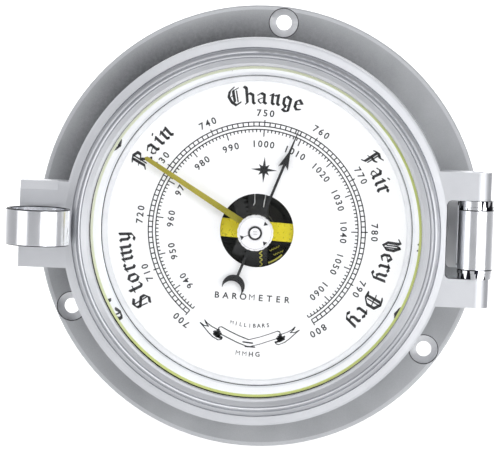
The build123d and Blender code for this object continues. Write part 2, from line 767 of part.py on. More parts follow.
with BuildPart() as adjusting_bush:
    with BuildSketch(FACE.offset(PLATE_BACK - BUSH_STANDOFF)):
        Circle(BUSH_BODY_R)
        Circle(BUSH_BORE_R, mode=Mode.SUBTRACT)
    extrude(amount=PLATE_T + BUSH_STANDOFF)
    with BuildSketch(FACE.offset(PLATE_FRONT)):
        Circle(BUSH_FLANGE_R)
        Circle(BUSH_BORE_R, mode=Mode.SUBTRACT)
    extrude(amount=CAPSULE_BACK - PLATE_FRONT)
    with BuildSketch(FACE.offset(CAPSULE_BACK)):
        Circle(BOSS_R + 0.3)
        Circle(BUSH_BORE_R, mode=Mode.SUBTRACT)
    extrude(amount=SHELL_T)
write(adjusting_bush, "adjusting_bush")

with BuildPart() as adjusting_screw:
    with BuildSketch(FACE.offset(ADJUSTER_BACK)):
        Circle(ADJUSTER_HEAD_R)
    extrude(amount=ADJUSTER_HEAD_T)
    with BuildSketch(FACE.offset(ADJUSTER_BACK + ADJUSTER_HEAD_T)):
        Circle(BUSH_BORE_R - RUNNING_GAP)
    extrude(amount=CAPSULE_BACK + 0.3 - ADJUSTER_BACK - ADJUSTER_HEAD_T)
    with BuildSketch(FACE.offset(ADJUSTER_BACK)):
        Rectangle(2 * ADJUSTER_HEAD_R + 1, ADJUSTER_SLOT_W)
    extrude(amount=ADJUSTER_SLOT_DEEP, mode=Mode.SUBTRACT)
write(adjusting_screw, "adjusting_screw")

BOSS_SEAT = 0.8
BOSS_NECK_R = 1.4
BOSS_NECK_T = 0.5
capsule_post = turned(
    CENTRE,
    (BOSS_R, CAPSULE_FRONT - BOSS_SEAT, BOSS_FRONT - BOSS_NECK_T),
    (BOSS_NECK_R, BOSS_FRONT - BOSS_NECK_T, BOSS_FRONT),
)
write(capsule_post, "capsule_post")

# ---------------------------------------------------------------------------------------
# Gear plate and bridge: bearings of the pointer arbor
# ---------------------------------------------------------------------------------------
GEAR_PLATE_BACK = 15.4
GEAR_PLATE_T = 1.0
GEAR_PLATE_W = 7.0
GEAR_POST_Z = 27.0
GEAR_POST_R = 2.4
GEAR_POST_PIN_R = 1.2
BRIDGE_PILLAR_R = 2.3
BRIDGE_SCREW_R = 1.0
BRIDGE_SCREW_SUNK = 0.2
ARBOR_BUSH_R = 1.6
BRIDGE_BACK = 19.3
BRIDGE_T = 1.0
BRIDGE_W = 6.3
SECTOR_POST_R = 1.2
ARBOR_R = 0.8
SECTOR_BACK = 17.7
SECTOR_T = 0.9
GEAR_POSTS = [(0, GEAR_POST_Z), (0, -GEAR_POST_Z)]
BRIDGE_ENDS = [
    (side * BRIDGE_HALF * cos(radians(BRIDGE_ANGLE)), side * BRIDGE_HALF * sin(radians(BRIDGE_ANGLE)))
    for side in (1, -1)
]

with BuildPart() as gear_plate:
    with BuildSketch(FACE.offset(GEAR_PLATE_BACK)):
        SlotCenterToCenter(2 * GEAR_POST_Z, GEAR_PLATE_W, rotation=90)
        Circle(ARBOR_R + RUNNING_GAP, mode=Mode.SUBTRACT)
        with Locations(*GEAR_POSTS):
            Circle(GEAR_POST_PIN_R, mode=Mode.SUBTRACT)
    extrude(amount=GEAR_PLATE_T)
write(gear_plate, "gear_plate")

gear_plate_posts = turned(
    GEAR_POSTS,
    (GEAR_POST_R, PLATE_FRONT, GEAR_PLATE_BACK),
    (GEAR_POST_PIN_R, GEAR_PLATE_BACK, GEAR_PLATE_BACK + GEAR_PLATE_T + 0.3),
)
write(gear_plate_posts, "gear_plate_posts")

with BuildPart() as bridge:
    with BuildSketch(FACE.offset(BRIDGE_BACK)):
        SlotCenterToCenter(2 * BRIDGE_HALF, BRIDGE_W, rotation=BRIDGE_ANGLE)
        Circle(ARBOR_BUSH_R, mode=Mode.SUBTRACT)
        with Locations(*BRIDGE_ENDS):
            Circle(BRIDGE_SCREW_R, mode=Mode.SUBTRACT)
        with Locations((SECTOR_X, 0)):
            Circle(SECTOR_POST_R + RUNNING_GAP, mode=Mode.SUBTRACT)
    extrude(amount=BRIDGE_T)
write(bridge, "bridge")

bridge_pillars = turned(
    BRIDGE_ENDS, (BRIDGE_PILLAR_R, PLATE_FRONT, BRIDGE_BACK), bore=BRIDGE_SCREW_R
)
write(bridge_pillars, "bridge_pillars")

bridge_screws = turned(
    BRIDGE_ENDS,
    (BRIDGE_SCREW_R, BRIDGE_BACK - 6, BRIDGE_BACK + BRIDGE_T - BRIDGE_SCREW_SUNK),
    (BRIDGE_SCREW_R, BRIDGE_BACK + BRIDGE_T - BRIDGE_SCREW_SUNK, BRIDGE_BACK + BRIDGE_T + 0.25),
    slot=BRIDGE_SCREW_SUNK,
)
write(bridge_screws, "bridge_screws")

arbor_bush = turned(
    CENTRE,
    (ARBOR_BUSH_R, BRIDGE_BACK - 0.3, BRIDGE_BACK + BRIDGE_T + 0.3),
    bore=ARBOR_R + RUNNING_GAP,
)
write(arbor_bush, "arbor_bush")

# ---------------------------------------------------------------------------------------
# Toothed sector and pinion: involute teeth, thinned for backlash
# ---------------------------------------------------------------------------------------
PRESSURE_ANGLE = radians(20)
TOOTH_SHARE = 0.44
PINION_ADDENDUM = 1.0 * MODULE
SECTOR_ADDENDUM = 0.58 * MODULE
ROOT_CLEARANCE = 0.35 * MODULE
FLANK_POINTS = 5
SECTOR_FIRST_TOOTH = -6
SECTOR_LAST_TOOTH = 6
PINION_BACK = 17.2
PINION_FRONT = 18.8


def involute(angle):
    """Involute function of a pressure angle, in radians."""
    return tan(angle) - angle


def tooth(teeth, addendum, dedendum, direction):
    """Outline of one tooth about the centre, root to tip to root, pointing along direction."""
    pitch_r = MODULE * teeth / 2
    base_r = pitch_r * cos(PRESSURE_ANGLE)
    root_r = pitch_r - dedendum
    half_at_pitch = TOOTH_SHARE * pi / teeth
    flank = []
    for index in range(FLANK_POINTS):
        radius = root_r + (pitch_r + addendum - root_r) * index / (FLANK_POINTS - 1)
        local_angle = acos(min(1.0, base_r / radius))
        half = half_at_pitch + involute(PRESSURE_ANGLE) - involute(local_angle)
        flank.append((radius, half))
    rising = [(radius, direction - half) for radius, half in flank]
    falling = [(radius, direction + half) for radius, half in reversed(flank)]
    return [(radius * cos(angle), radius * sin(angle)) for radius, angle in rising + falling]


pinion_outline = []
for index in range(PINION_TEETH):
    pinion_outline += tooth(
        PINION_TEETH, PINION_ADDENDUM, SECTOR_ADDENDUM + ROOT_CLEARANCE, pi + 2 * pi * index / PINION_TEETH
    )

with BuildPart() as pointer_pinion:
    with BuildSketch(FACE.offset(PINION_BACK)):
        with BuildLine():
            Polyline(*pinion_outline, close=True)
        make_face()
        Circle(ARBOR_R, mode=Mode.SUBTRACT)
    extrude(amount=PINION_FRONT - PINION_BACK)
write(pointer_pinion, "pointer_pinion")

sector_pitch = 2 * pi / SECTOR_TEETH
sector_outline = []
for index in range(SECTOR_FIRST_TOOTH, SECTOR_LAST_TOOTH + 1):
    sector_outline += tooth(
        SECTOR_TEETH, SECTOR_ADDENDUM, PINION_ADDENDUM + ROOT_CLEARANCE, (index + 0.5) * sector_pitch
    )
RIM_INNER_R = 20.8
rim_low = (SECTOR_FIRST_TOOTH - 0.3) * sector_pitch
rim_high = (SECTOR_LAST_TOOTH + 1.3) * sector_pitch
root_r = MODULE * SECTOR_TEETH / 2 - PINION_ADDENDUM - ROOT_CLEARANCE
rim_end = (root_r * cos(rim_high), root_r * sin(rim_high))
rim_start = (root_r * cos(rim_low), root_r * sin(rim_low))
rim_inner_low = (RIM_INNER_R * cos(rim_low), RIM_INNER_R * sin(rim_low))
rim_inner_high = (RIM_INNER_R * cos(rim_high), RIM_INNER_R * sin(rim_high))
SECTOR_PLANE = Plane(origin=(SECTOR_X, -SECTOR_BACK, 0), x_dir=(1, 0, 0), z_dir=(0, -1, 0))
TAIL_PIN_R = 0.6
TAIL_PIN_BACK = 15.2

with BuildPart() as sector_gear:
    with BuildSketch(SECTOR_PLANE):
        with BuildLine():
            Polyline(rim_inner_low, rim_start, *sector_outline, rim_end, rim_inner_high)
            RadiusArc(rim_inner_high, rim_inner_low, RIM_INNER_R)
        make_face()
        with Locations((RIM_INNER_R / 2 + 0.3, 0)):
            Rectangle(RIM_INNER_R + 0.8, 4.4)
        Circle(4.6)
        Circle(SECTOR_POST_R + RUNNING_GAP, mode=Mode.SUBTRACT)
    extrude(amount=SECTOR_T)
    with BuildSketch(FACE.offset(TAIL_PIN_BACK)):
        with Locations((TAIL_PIN_X, 0)):
            Circle(TAIL_PIN_R)
    extrude(amount=SECTOR_BACK - TAIL_PIN_BACK)
write(sector_gear, "sector_gear")

sector_spot = [(SECTOR_X, 0)]
HUB_FRONT = SECTOR_BACK + SECTOR_T + 0.35
sector_hub = turned(
    sector_spot, (2.2, SECTOR_BACK + SECTOR_T, HUB_FRONT), bore=SECTOR_POST_R + RUNNING_GAP
)
write(sector_hub, "sector_hub")

sector_post = turned(
    sector_spot,
    (1.8, PLATE_FRONT, SECTOR_BACK - 0.1),
    (SECTOR_POST_R, SECTOR_BACK - 0.1, BRIDGE_BACK + BRIDGE_T),
)
write(sector_post, "sector_post")

sector_clip = turned(sector_spot, (1.9, HUB_FRONT + 0.08, BRIDGE_BACK - 0.02), bore=SECTOR_POST_R)
write(sector_clip, "sector_clip")

# ---------------------------------------------------------------------------------------
# Pointer arbor, its collets, the hairspring and the pressure hand
# ---------------------------------------------------------------------------------------
ARBOR_BACK = 13.0
ARBOR_FRONT = 24.75
COLLET_R = 1.5
SPRING_BACK = 13.5
SPRING_T = 0.6
SPRING_START_R = 1.75
SPRING_STEP = 0.5
SPRING_HALF_TURNS = 8
SPRING_STRIP = 0.2
HAND_BACK = 24.1
HAND_T = 0.35

pointer_arbor = turned(CENTRE, (ARBOR_R, ARBOR_BACK, ARBOR_FRONT))
write(pointer_arbor, "pointer_arbor")

COLLET_LIP = 0.1
hairspring_collet = turned(
    CENTRE,
    (COLLET_R, SPRING_BACK - COLLET_LIP, SPRING_BACK + SPRING_T + COLLET_LIP),
    bore=ARBOR_R,
)
write(hairspring_collet, "hairspring_collet")

spring_ends = [
    (0, (SPRING_START_R + SPRING_STEP * index) * (-1) ** index)
    for index in range(SPRING_HALF_TURNS + 1)
]

with BuildPart() as hairspring:
    with BuildSketch(FACE.offset(SPRING_BACK)):
        with BuildLine():
            for start, end in zip(spring_ends, spring_ends[1:]):
                middle_z = (start[1] + end[1]) / 2
                sweep_r = (start[1] - end[1]) / 2
                ThreePointArc(start, (-sweep_r, middle_z), end)
        trace(line_width=SPRING_STRIP)
    extrude(amount=SPRING_T)
write(hairspring, "hairspring")

stud_z = SPRING_START_R + SPRING_STEP * SPRING_HALF_TURNS + SPRING_STRIP / 2 + 0.6
hairspring_stud = turned([(0, stud_z)], (0.6, SPRING_BACK - 0.3, GEAR_PLATE_BACK))
write(hairspring_stud, "hairspring_stud")

hand_collet = turned(CENTRE, (2.2, DIAL_FRONT + 0.4, HAND_BACK), bore=ARBOR_R)
write(hand_collet, "hand_collet")


def hand_point(along, side):
    """A point of the pressure hand: distance along it from the hub, and to its right."""
    turn = radians(PRESSURE_HAND_ANGLE)
    return (along * sin(turn) + side * cos(turn), along * cos(turn) - side * sin(turn))


CRESCENT_AT = -20.5
CRESCENT_R = 3.9
STEM_HALF = 0.45

with BuildPart() as pressure_hand:
    with BuildSketch(FACE.offset(HAND_BACK)):
        with Locations(hand_point(CRESCENT_AT, 0)):
            Circle(CRESCENT_R)
        with Locations(hand_point(CRESCENT_AT - 1.7, 0)):
            Circle(CRESCENT_R - 0.5, mode=Mode.SUBTRACT)
        Circle(3.0)
        with BuildLine():
            Polyline(
                hand_point(CRESCENT_AT + CRESCENT_R - 0.6, -STEM_HALF),
                hand_point(24.4, -STEM_HALF),
                hand_point(23.2, -1.8),
                hand_point(28.8, -0.4),
                hand_point(37.4, -0.12),
                hand_point(37.4, 0.12),
                hand_point(28.8, 0.4),
                hand_point(23.2, 1.8),
                hand_point(24.4, STEM_HALF),
                hand_point(CRESCENT_AT + CRESCENT_R - 0.6, STEM_HALF),
                close=True,
            )
        make_face()
        Circle(ARBOR_R, mode=Mode.SUBTRACT)
    extrude(amount=HAND_T)
write(pressure_hand, "pressure_hand")

# ---------------------------------------------------------------------------------------
# Rocking shaft: turns the rise of the capsule into the swing of the sector
# ---------------------------------------------------------------------------------------
SHAFT_R = 1.0
SHAFT_LEFT = -32.5
SHAFT_RIGHT = 27.0
BRACKET_XS = (-30.0, 25.0)
BRACKET_T = 1.6
BRACKET_W = 4.6
BRACKET_EYE_R = 2.3
BRACKET_FOOT_LONG = 6.0
BRACKET_FOOT_T = 1.0
ARM_HUB_R = 1.9
SHAFT_AT = (-SHAFT_DEPTH, SHAFT_Z)

with BuildPart() as rocking_shaft:
    with BuildSketch(Plane.YZ.offset(SHAFT_LEFT)):
        with Locations(SHAFT_AT):
            Circle(SHAFT_R)
    extrude(amount=SHAFT_RIGHT - SHAFT_LEFT)
write(rocking_shaft, "rocking_shaft")

with BuildPart() as rocker_brackets:
    for bracket_x in BRACKET_XS:
        with BuildSketch(Plane.YZ.offset(bracket_x - BRACKET_T / 2)):
            with Locations((-(PLATE_FRONT + SHAFT_DEPTH) / 2, SHAFT_Z)):
                Rectangle(SHAFT_DEPTH - PLATE_FRONT, BRACKET_W)
            with Locations(SHAFT_AT):
                Circle(BRACKET_EYE_R)
                Circle(SHAFT_R + RUNNING_GAP, mode=Mode.SUBTRACT)
        extrude(amount=BRACKET_T)
        with BuildSketch(FACE.offset(PLATE_FRONT)):
            with Locations((bracket_x, SHAFT_Z)):
                Rectangle(BRACKET_FOOT_LONG, BRACKET_W)
        extrude(amount=BRACKET_FOOT_T)
write(rocker_brackets, "rocker_brackets")

with BuildPart() as capsule_arm:
    with BuildSketch(Plane.YZ.offset(-1.5)):
        with Locations(SHAFT_AT):
            Circle(ARM_HUB_R)
        with Locations((-(BOSS_FRONT + 0.45 + 0.6), SHAFT_Z + 3.1)):
            Rectangle(1.2, 6.2)
        with Locations(SHAFT_AT):
            Circle(SHAFT_R, mode=Mode.SUBTRACT)
    extrude(amount=3)
write(capsule_arm, "capsule_arm")

SECTOR_ARM_TIP = 16.6
SECTOR_ARM_TOP_Z = -TAIL_PIN_R - 0.35

with BuildPart() as sector_arm:
    with BuildSketch(Plane.YZ.offset(TAIL_PIN_X - 0.8)):
        with Locations(SHAFT_AT):
            Circle(ARM_HUB_R)
        with BuildLine():
            Polyline(
                (-SHAFT_DEPTH, SHAFT_Z - ARM_HUB_R),
                (-SHAFT_DEPTH, SHAFT_Z + ARM_HUB_R),
                (-SECTOR_ARM_TIP + 2.0, SECTOR_ARM_TOP_Z),
                (-SECTOR_ARM_TIP, SECTOR_ARM_TOP_Z),
                (-SECTOR_ARM_TIP, SECTOR_ARM_TOP_Z - 2.0),
                close=True,
            )
        make_face()
        with Locations(SHAFT_AT):
            Circle(SHAFT_R, mode=Mode.SUBTRACT)
    extrude(amount=1.6)
write(sector_arm, "sector_arm")
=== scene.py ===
import json
from math import cos, degrees, pi, radians, sin

import bmesh
import bpy
from mathutils import Matrix, Vector


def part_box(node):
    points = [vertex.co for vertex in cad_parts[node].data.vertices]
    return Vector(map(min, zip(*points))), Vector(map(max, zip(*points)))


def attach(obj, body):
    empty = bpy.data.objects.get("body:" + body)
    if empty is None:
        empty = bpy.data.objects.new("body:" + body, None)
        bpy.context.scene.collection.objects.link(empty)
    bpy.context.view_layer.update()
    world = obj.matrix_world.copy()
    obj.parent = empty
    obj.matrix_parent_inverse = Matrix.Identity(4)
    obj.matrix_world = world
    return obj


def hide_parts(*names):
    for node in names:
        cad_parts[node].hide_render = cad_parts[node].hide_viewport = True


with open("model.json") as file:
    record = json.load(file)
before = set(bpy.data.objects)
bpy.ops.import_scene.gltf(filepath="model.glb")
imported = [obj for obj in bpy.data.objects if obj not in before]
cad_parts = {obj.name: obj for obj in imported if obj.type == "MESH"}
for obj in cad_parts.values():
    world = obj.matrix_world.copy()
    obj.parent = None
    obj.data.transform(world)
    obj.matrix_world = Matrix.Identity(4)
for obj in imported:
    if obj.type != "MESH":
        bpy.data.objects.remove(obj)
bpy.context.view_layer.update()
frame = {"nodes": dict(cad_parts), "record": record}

MM = 0.001
NODES = frame["nodes"]


def spot(radius, angle):
    """The place (right, up) at a radius and a clock angle: degrees, clockwise from the top."""
    return (radius * sin(radians(angle)), radius * cos(radians(angle)))


# ---------------------------------------------------------------------------------------
# Camera: nearly straight on, a little from the right and above, tilted two degrees
# ---------------------------------------------------------------------------------------
CAMERA_AZIMUTH = radians(2.6)
CAMERA_ELEVATION = radians(4.4)
CAMERA_ROLL = radians(2.0)
CAMERA_DISTANCE = 2.5
CAMERA_CLIP_END = 50
SENSOR_WIDTH = 36
FRAME_WIDTH = 0.1687
FRAME_SHIFT = (-2.585 * MM, 1.4965 * MM)
FACE_POINT = Vector((0, -31 * MM, 0))


def place_camera():
    """Aims at the middle of the glass and shifts the frame a little to the left and up."""
    camera = bpy.data.objects.new("camera", bpy.data.cameras.new("camera"))
    bpy.context.scene.collection.objects.link(camera)
    towards = Vector(
        (
            sin(CAMERA_AZIMUTH) * cos(CAMERA_ELEVATION),
            -cos(CAMERA_AZIMUTH) * cos(CAMERA_ELEVATION),
            sin(CAMERA_ELEVATION),
        )
    )
    camera.location = FACE_POINT + towards * CAMERA_DISTANCE
    aim = (-towards).to_track_quat("-Z", "Y").to_matrix().to_4x4()
    camera.matrix_world = Matrix.Translation(camera.location) @ aim @ Matrix.Rotation(CAMERA_ROLL, 4, "Z")
    camera.data.sensor_width = SENSOR_WIDTH
    camera.data.lens = SENSOR_WIDTH * CAMERA_DISTANCE / FRAME_WIDTH
    camera.data.shift_x = FRAME_SHIFT[0] / FRAME_WIDTH
    camera.data.shift_y = FRAME_SHIFT[1] / FRAME_WIDTH
    camera.data.clip_end = CAMERA_CLIP_END
    bpy.context.scene.camera = camera


place_camera()
bpy.context.scene.view_settings.view_transform = "Standard"


# ---------------------------------------------------------------------------------------
# Materials
# ---------------------------------------------------------------------------------------
# Noise is in object space: its scale is in features per metre, its detail in octaves. A
# socket gets its lowest value at NOISE_LOW and its highest at NOISE_HIGH, and a colour is
# pure dark below CLOUD_LOW and pure light above CLOUD_HIGH.
NOISE_LOW = 0.3
NOISE_HIGH = 0.7
CLOUD_LOW = 0.35
CLOUD_HIGH = 0.65
CLOUD_SCALE = 60
CLOUD_DETAIL = 3.0
GRAINS_PER_CLOUD = 8
METAL_DETAIL = 6.0
PLAIN_DETAIL = 5.0


def new_material(name, base, metallic=0.0, roughness=0.5, alpha=1.0):
    """A Principled material with constant values set on its sockets."""
    material = bpy.data.materials.new(name)
    material.use_nodes = True
    shader = material.node_tree.nodes["Principled BSDF"]
    shader.inputs["Base Color"].default_value = (*base, 1)
    shader.inputs["Metallic"].default_value = metallic
    shader.inputs["Roughness"].default_value = roughness
    shader.inputs["Alpha"].default_value = alpha
    return material, shader


def noise(material, scale, detail, stretch=(1, 1, 1)):
    """A noise texture in object space, stretched along the axes."""
    nodes, links = material.node_tree.nodes, material.node_tree.links
    place = nodes.new("ShaderNodeTexCoord")
    mapping = nodes.new("ShaderNodeMapping")
    mapping.inputs["Scale"].default_value = stretch
    texture = nodes.new("ShaderNodeTexNoise")
    texture.inputs["Scale"].default_value = scale
    texture.inputs["Detail"].default_value = detail
    links.new(place.outputs["Object"], mapping.inputs["Vector"])
    links.new(mapping.outputs["Vector"], texture.inputs["Vector"])
    return texture.outputs["Fac"]


def spread(material, factor, low, high, target):
    """Maps a factor to a range and feeds it to a socket."""
    nodes, links = material.node_tree.nodes, material.node_tree.links
    remap = nodes.new("ShaderNodeMapRange")
    remap.inputs["From Min"].default_value = NOISE_LOW
    remap.inputs["From Max"].default_value = NOISE_HIGH
    remap.inputs["To Min"].default_value = low
    remap.inputs["To Max"].default_value = high
    links.new(factor, remap.inputs["Value"])
    links.new(remap.outputs["Result"], target)


def tint(material, factor, dark, light, target, low=CLOUD_LOW, high=CLOUD_HIGH):
    """Mixes two colours by a factor, which runs from low to high, and feeds the result to a socket."""
    nodes, links = material.node_tree.nodes, material.node_tree.links
    ramp = nodes.new("ShaderNodeValToRGB")
    ramp.color_ramp.elements[0].position = low
    ramp.color_ramp.elements[1].position = high
    ramp.color_ramp.elements[0].color = (*dark, 1)
    ramp.color_ramp.elements[1].color = (*light, 1)
    links.new(factor, ramp.inputs["Fac"])
    links.new(ramp.outputs["Color"], target)


def bump(material, shader, factor, strength, distance):
    """Adds bump from a factor; distance is in millimetres."""
    nodes, links = material.node_tree.nodes, material.node_tree.links
    node = nodes.new("ShaderNodeBump")
    node.inputs["Strength"].default_value = strength
    node.inputs["Distance"].default_value = distance * MM
    links.new(factor, node.inputs["Height"])
    links.new(node.outputs["Normal"], shader.inputs["Normal"])


def metal(name, dark, light, rough, grain, relief, depth=0.02, stretch=(1, 1, 1)):
    """Metal with blotchy colour, uneven gloss and a fine grain."""
    material, shader = new_material(name, light, metallic=1.0)
    cloud = noise(material, CLOUD_SCALE, CLOUD_DETAIL)
    tint(material, cloud, dark, light, shader.inputs["Base Color"])
    fine = noise(material, grain, METAL_DETAIL, stretch)
    spread(material, fine, rough[0], rough[1], shader.inputs["Roughness"])
    bump(material, shader, fine, relief, depth)
    return material


def plain(name, dark, light, rough, grain, relief, depth=0.02, metallic=0.0):
    """Paint, rubber, print ink or a partly metallic finish, with slight unevenness."""
    material, shader = new_material(name, light, metallic=metallic)
    cloud = noise(material, grain / GRAINS_PER_CLOUD, CLOUD_DETAIL)
    tint(material, cloud, dark, light, shader.inputs["Base Color"])
    fine = noise(material, grain, PLAIN_DETAIL)
    spread(material, fine, rough[0], rough[1], shader.inputs["Roughness"])
    bump(material, shader, fine, relief, depth)
    return material


def math_node(material, operation, *values):
    """A math node on one, two or three values, each a float or a socket."""
    node = material.node_tree.nodes.new("ShaderNodeMath")
    node.operation = operation
    for socket, value in zip(node.inputs, values):
        if isinstance(value, float):
            socket.default_value = value
        else:
            material.node_tree.links.new(value, socket)
    return node.outputs["Value"]


def clamp_node(material, value):
    """A value kept between zero and one."""
    return math_node(material, "MINIMUM", math_node(material, "MAXIMUM", value, 0.0), 1.0)


# Places of the colour sockets among those of a mix node
MIX_FIRST = 6
MIX_SECOND = 7
MIX_RESULT = 2


def mix_node(material, factor, first, second):
    """A mix of two colours, each a tuple or a socket."""
    node = material.node_tree.nodes.new("ShaderNodeMix")
    node.data_type = "RGBA"
    material.node_tree.links.new(factor, node.inputs["Factor"])
    for socket, colour in ((node.inputs[MIX_FIRST], first), (node.inputs[MIX_SECOND], second)):
        if isinstance(colour, tuple):
            socket.default_value = (*colour, 1)
        else:
            material.node_tree.links.new(colour, socket)
    return node.outputs[MIX_RESULT]


def place_axes(material):
    """The X, Y and Z of a point in object space."""
    nodes, links = material.node_tree.nodes, material.node_tree.links
    place = nodes.new("ShaderNodeTexCoord")
    axes = nodes.new("ShaderNodeSeparateXYZ")
    links.new(place.outputs["Object"], axes.inputs["Vector"])
    return axes.outputs


def distance_node(material, axes, x=0.0, z=0.0):
    """The distance from a place (x, z), in metres, seen straight from the front."""
    across = math_node(material, "SUBTRACT", axes["X"], x)
    upward = math_node(material, "SUBTRACT", axes["Z"], z)
    squares = [math_node(material, "MULTIPLY", side, side) for side in (across, upward)]
    return math_node(material, "SQRT", math_node(material, "ADD", *squares))


GLASS_COLOUR = (0.93, 1.0, 0.96)
GLASS_ALPHA = 0.014
GLASS_ROUGH = (0.01, 0.05)
SMEAR_SCALE = 40


def glass_material():
    """Clear window glass: see-through with a faint reflection; its greenish edge is a separate piece."""
    material, shader = new_material("clear_glass", GLASS_COLOUR, metallic=1.0, alpha=GLASS_ALPHA)
    smear = noise(material, SMEAR_SCALE, CLOUD_DETAIL)
    spread(material, smear, GLASS_ROUGH[0], GLASS_ROUGH[1], shader.inputs["Roughness"])
    return material


# The glow is pale up to EDGE_PALE_END and green from EDGE_GREEN_START on, on a scale that is
# EDGE_MIDDLE at the middle and grows by EDGE_GAIN per metre to the right and downwards.
EDGE_PALE = (0.84, 0.88, 0.68)
EDGE_GREEN = (0.72, 0.80, 0.26)
EDGE_PALE_END = 0.55
EDGE_GREEN_START = 1.0
EDGE_MIDDLE = 0.42
EDGE_GAIN = 5.0
EDGE_UNEVEN = 0.9
EDGE_NOISE_SCALE = 26
EDGE_NOISE_DETAIL = 2.0


def edge_tint_material():
    """Light caught in the cut edge of the glass: yellow-green on the right and below, pale elsewhere."""
    material, shader = new_material("glass_edge", EDGE_PALE)
    axes = place_axes(material)
    below = math_node(material, "MULTIPLY_ADD", axes["Z"], -EDGE_GAIN, EDGE_MIDDLE)
    lean = math_node(material, "MULTIPLY_ADD", axes["X"], EDGE_GAIN, below)
    patches = noise(material, EDGE_NOISE_SCALE, EDGE_NOISE_DETAIL)
    greenness = math_node(material, "MULTIPLY_ADD", patches, EDGE_UNEVEN, lean)
    base = shader.inputs["Base Color"]
    tint(material, greenness, EDGE_PALE, EDGE_GREEN, base, EDGE_PALE_END, EDGE_GREEN_START)
    return material


# Radii and reach are in millimetres. Painted shade covers a share of the colour everywhere
# near the ring, and a further share that grows up and to the left; the rim gets a painted highlight.
FLANGE_CORNER_R = 65.0
FLANGE_EDGE_R = 74.6
PAINTED_SHADE_COLOUR = (0.05, 0.052, 0.06)
SHADE_UP = 0.82
SHADE_LEFT = 0.57
SHADE_REACH = 70
SHADE_EVERYWHERE = 0.10
SHADE_UPPER_LEFT = 0.62
SHADE_GRAIN = 900
SHADE_LEAST = 0.7
SHADE_UNEVEN = 0.6
RIM_HIGHLIGHT_COLOUR = (0.86, 0.87, 0.89)
RIM_HIGHLIGHT_SHARE = 0.4


def tarnish_flange(material):
    """Paints shade on the flange towards the corner under the ring, most at the upper left, and paints a
    highlight on its rim.
    """
    shader = material.node_tree.nodes["Principled BSDF"]
    before = shader.inputs["Base Color"].links[0].from_socket
    axes = place_axes(material)
    radius = distance_node(material, axes)
    inward = math_node(material, "SUBTRACT", FLANGE_EDGE_R * MM, radius)
    corner = math_node(material, "DIVIDE", inward, (FLANGE_EDGE_R - FLANGE_CORNER_R) * MM)
    up = math_node(material, "MULTIPLY", axes["Z"], SHADE_UP)
    right = math_node(material, "MULTIPLY", axes["X"], SHADE_LEFT)
    lean = math_node(material, "SUBTRACT", up, right)
    upper_left = clamp_node(material, math_node(material, "DIVIDE", lean, SHADE_REACH * MM))
    strength = math_node(material, "MULTIPLY_ADD", upper_left, SHADE_UPPER_LEFT, SHADE_EVERYWHERE)
    even = math_node(material, "MULTIPLY", clamp_node(material, corner), strength)
    grain = noise(material, SHADE_GRAIN, CLOUD_DETAIL)
    uneven = math_node(material, "MULTIPLY_ADD", grain, SHADE_UNEVEN, SHADE_LEAST)
    # Painted shade: the colour is mixed towards near black next to the ring
    shaded_colour = mix_node(material, math_node(material, "MULTIPLY", even, uneven), before, PAINTED_SHADE_COLOUR)
    # Painted highlight: the rounded rim is mixed towards light grey
    rim = math_node(material, "GREATER_THAN", radius, FLANGE_EDGE_R * MM)
    rim_highlight = mix_node(material, math_node(material, "MULTIPLY", rim, RIM_HIGHLIGHT_SHARE), shaded_colour, RIM_HIGHLIGHT_COLOUR)
    material.node_tree.links.new(rim_highlight, shader.inputs["Base Color"])


# The circle of the three wall screws in millimetres, and their clock angles
CUP_CIRCLE_R = 70.5
CUP_ANGLES = (4.8, 124.8, 244.8)
CUP_R = 4.85
CUP_LINE = 0.3
CUP_LINE_COLOUR = (0.10, 0.10, 0.11)
CUP_COLOUR = (0.90, 0.905, 0.92)
CUP_POLISH = 0.6


def polish_cups(material):
    """Polishes the countersinks of the wall screws, each with a dark line at its edge."""
    shader = material.node_tree.nodes["Principled BSDF"]
    colour = shader.inputs["Base Color"].links[0].from_socket
    gloss = shader.inputs["Roughness"].links[0].from_socket
    axes = place_axes(material)
    for angle in CUP_ANGLES:
        x, z = spot(CUP_CIRCLE_R * MM, angle)
        away = distance_node(material, axes, x, z)
        rim = math_node(material, "LESS_THAN", away, (CUP_R + CUP_LINE) * MM)
        inside = math_node(material, "LESS_THAN", away, CUP_R * MM)
        colour = mix_node(material, rim, colour, CUP_LINE_COLOUR)
        colour = mix_node(material, inside, colour, CUP_COLOUR)
        kept = math_node(material, "SUBTRACT", 1.0, math_node(material, "MULTIPLY", inside, CUP_POLISH))
        gloss = math_node(material, "MULTIPLY", gloss, kept)
    material.node_tree.links.new(colour, shader.inputs["Base Color"])
    material.node_tree.links.new(gloss, shader.inputs["Roughness"])


# Chrome of the plain polished parts and of the barrels. A barrel's end starts with a dark
# line, END_LINE millimetres wide, and is dark beyond it where the noise is above a start value;
# these darks are painted reflections. The hinge leaf's flat white is a painted reflection.
CHROME_DARK = (0.84, 0.85, 0.88)
CHROME_LIGHT = (0.90, 0.91, 0.93)
CHROME_GRAIN = 300
CHROME_RELIEF = 0.03
CHROME_DEPTH = 0.01
END_LINE = 0.35
END_REFLECTION_COLOUR = (0.012, 0.012, 0.018)
END_REFLECTION_SCALE = 420
END_REFLECTION_DETAIL = 1.0
END_REFLECTION_STRETCH = (1.0, 1.0, 0.2)
END_REFLECTION_START = 0.55
BARREL_ROUGH = (0.17, 0.23)
LEAF_REFLECTION_WHITE = (0.97, 0.97, 0.98)


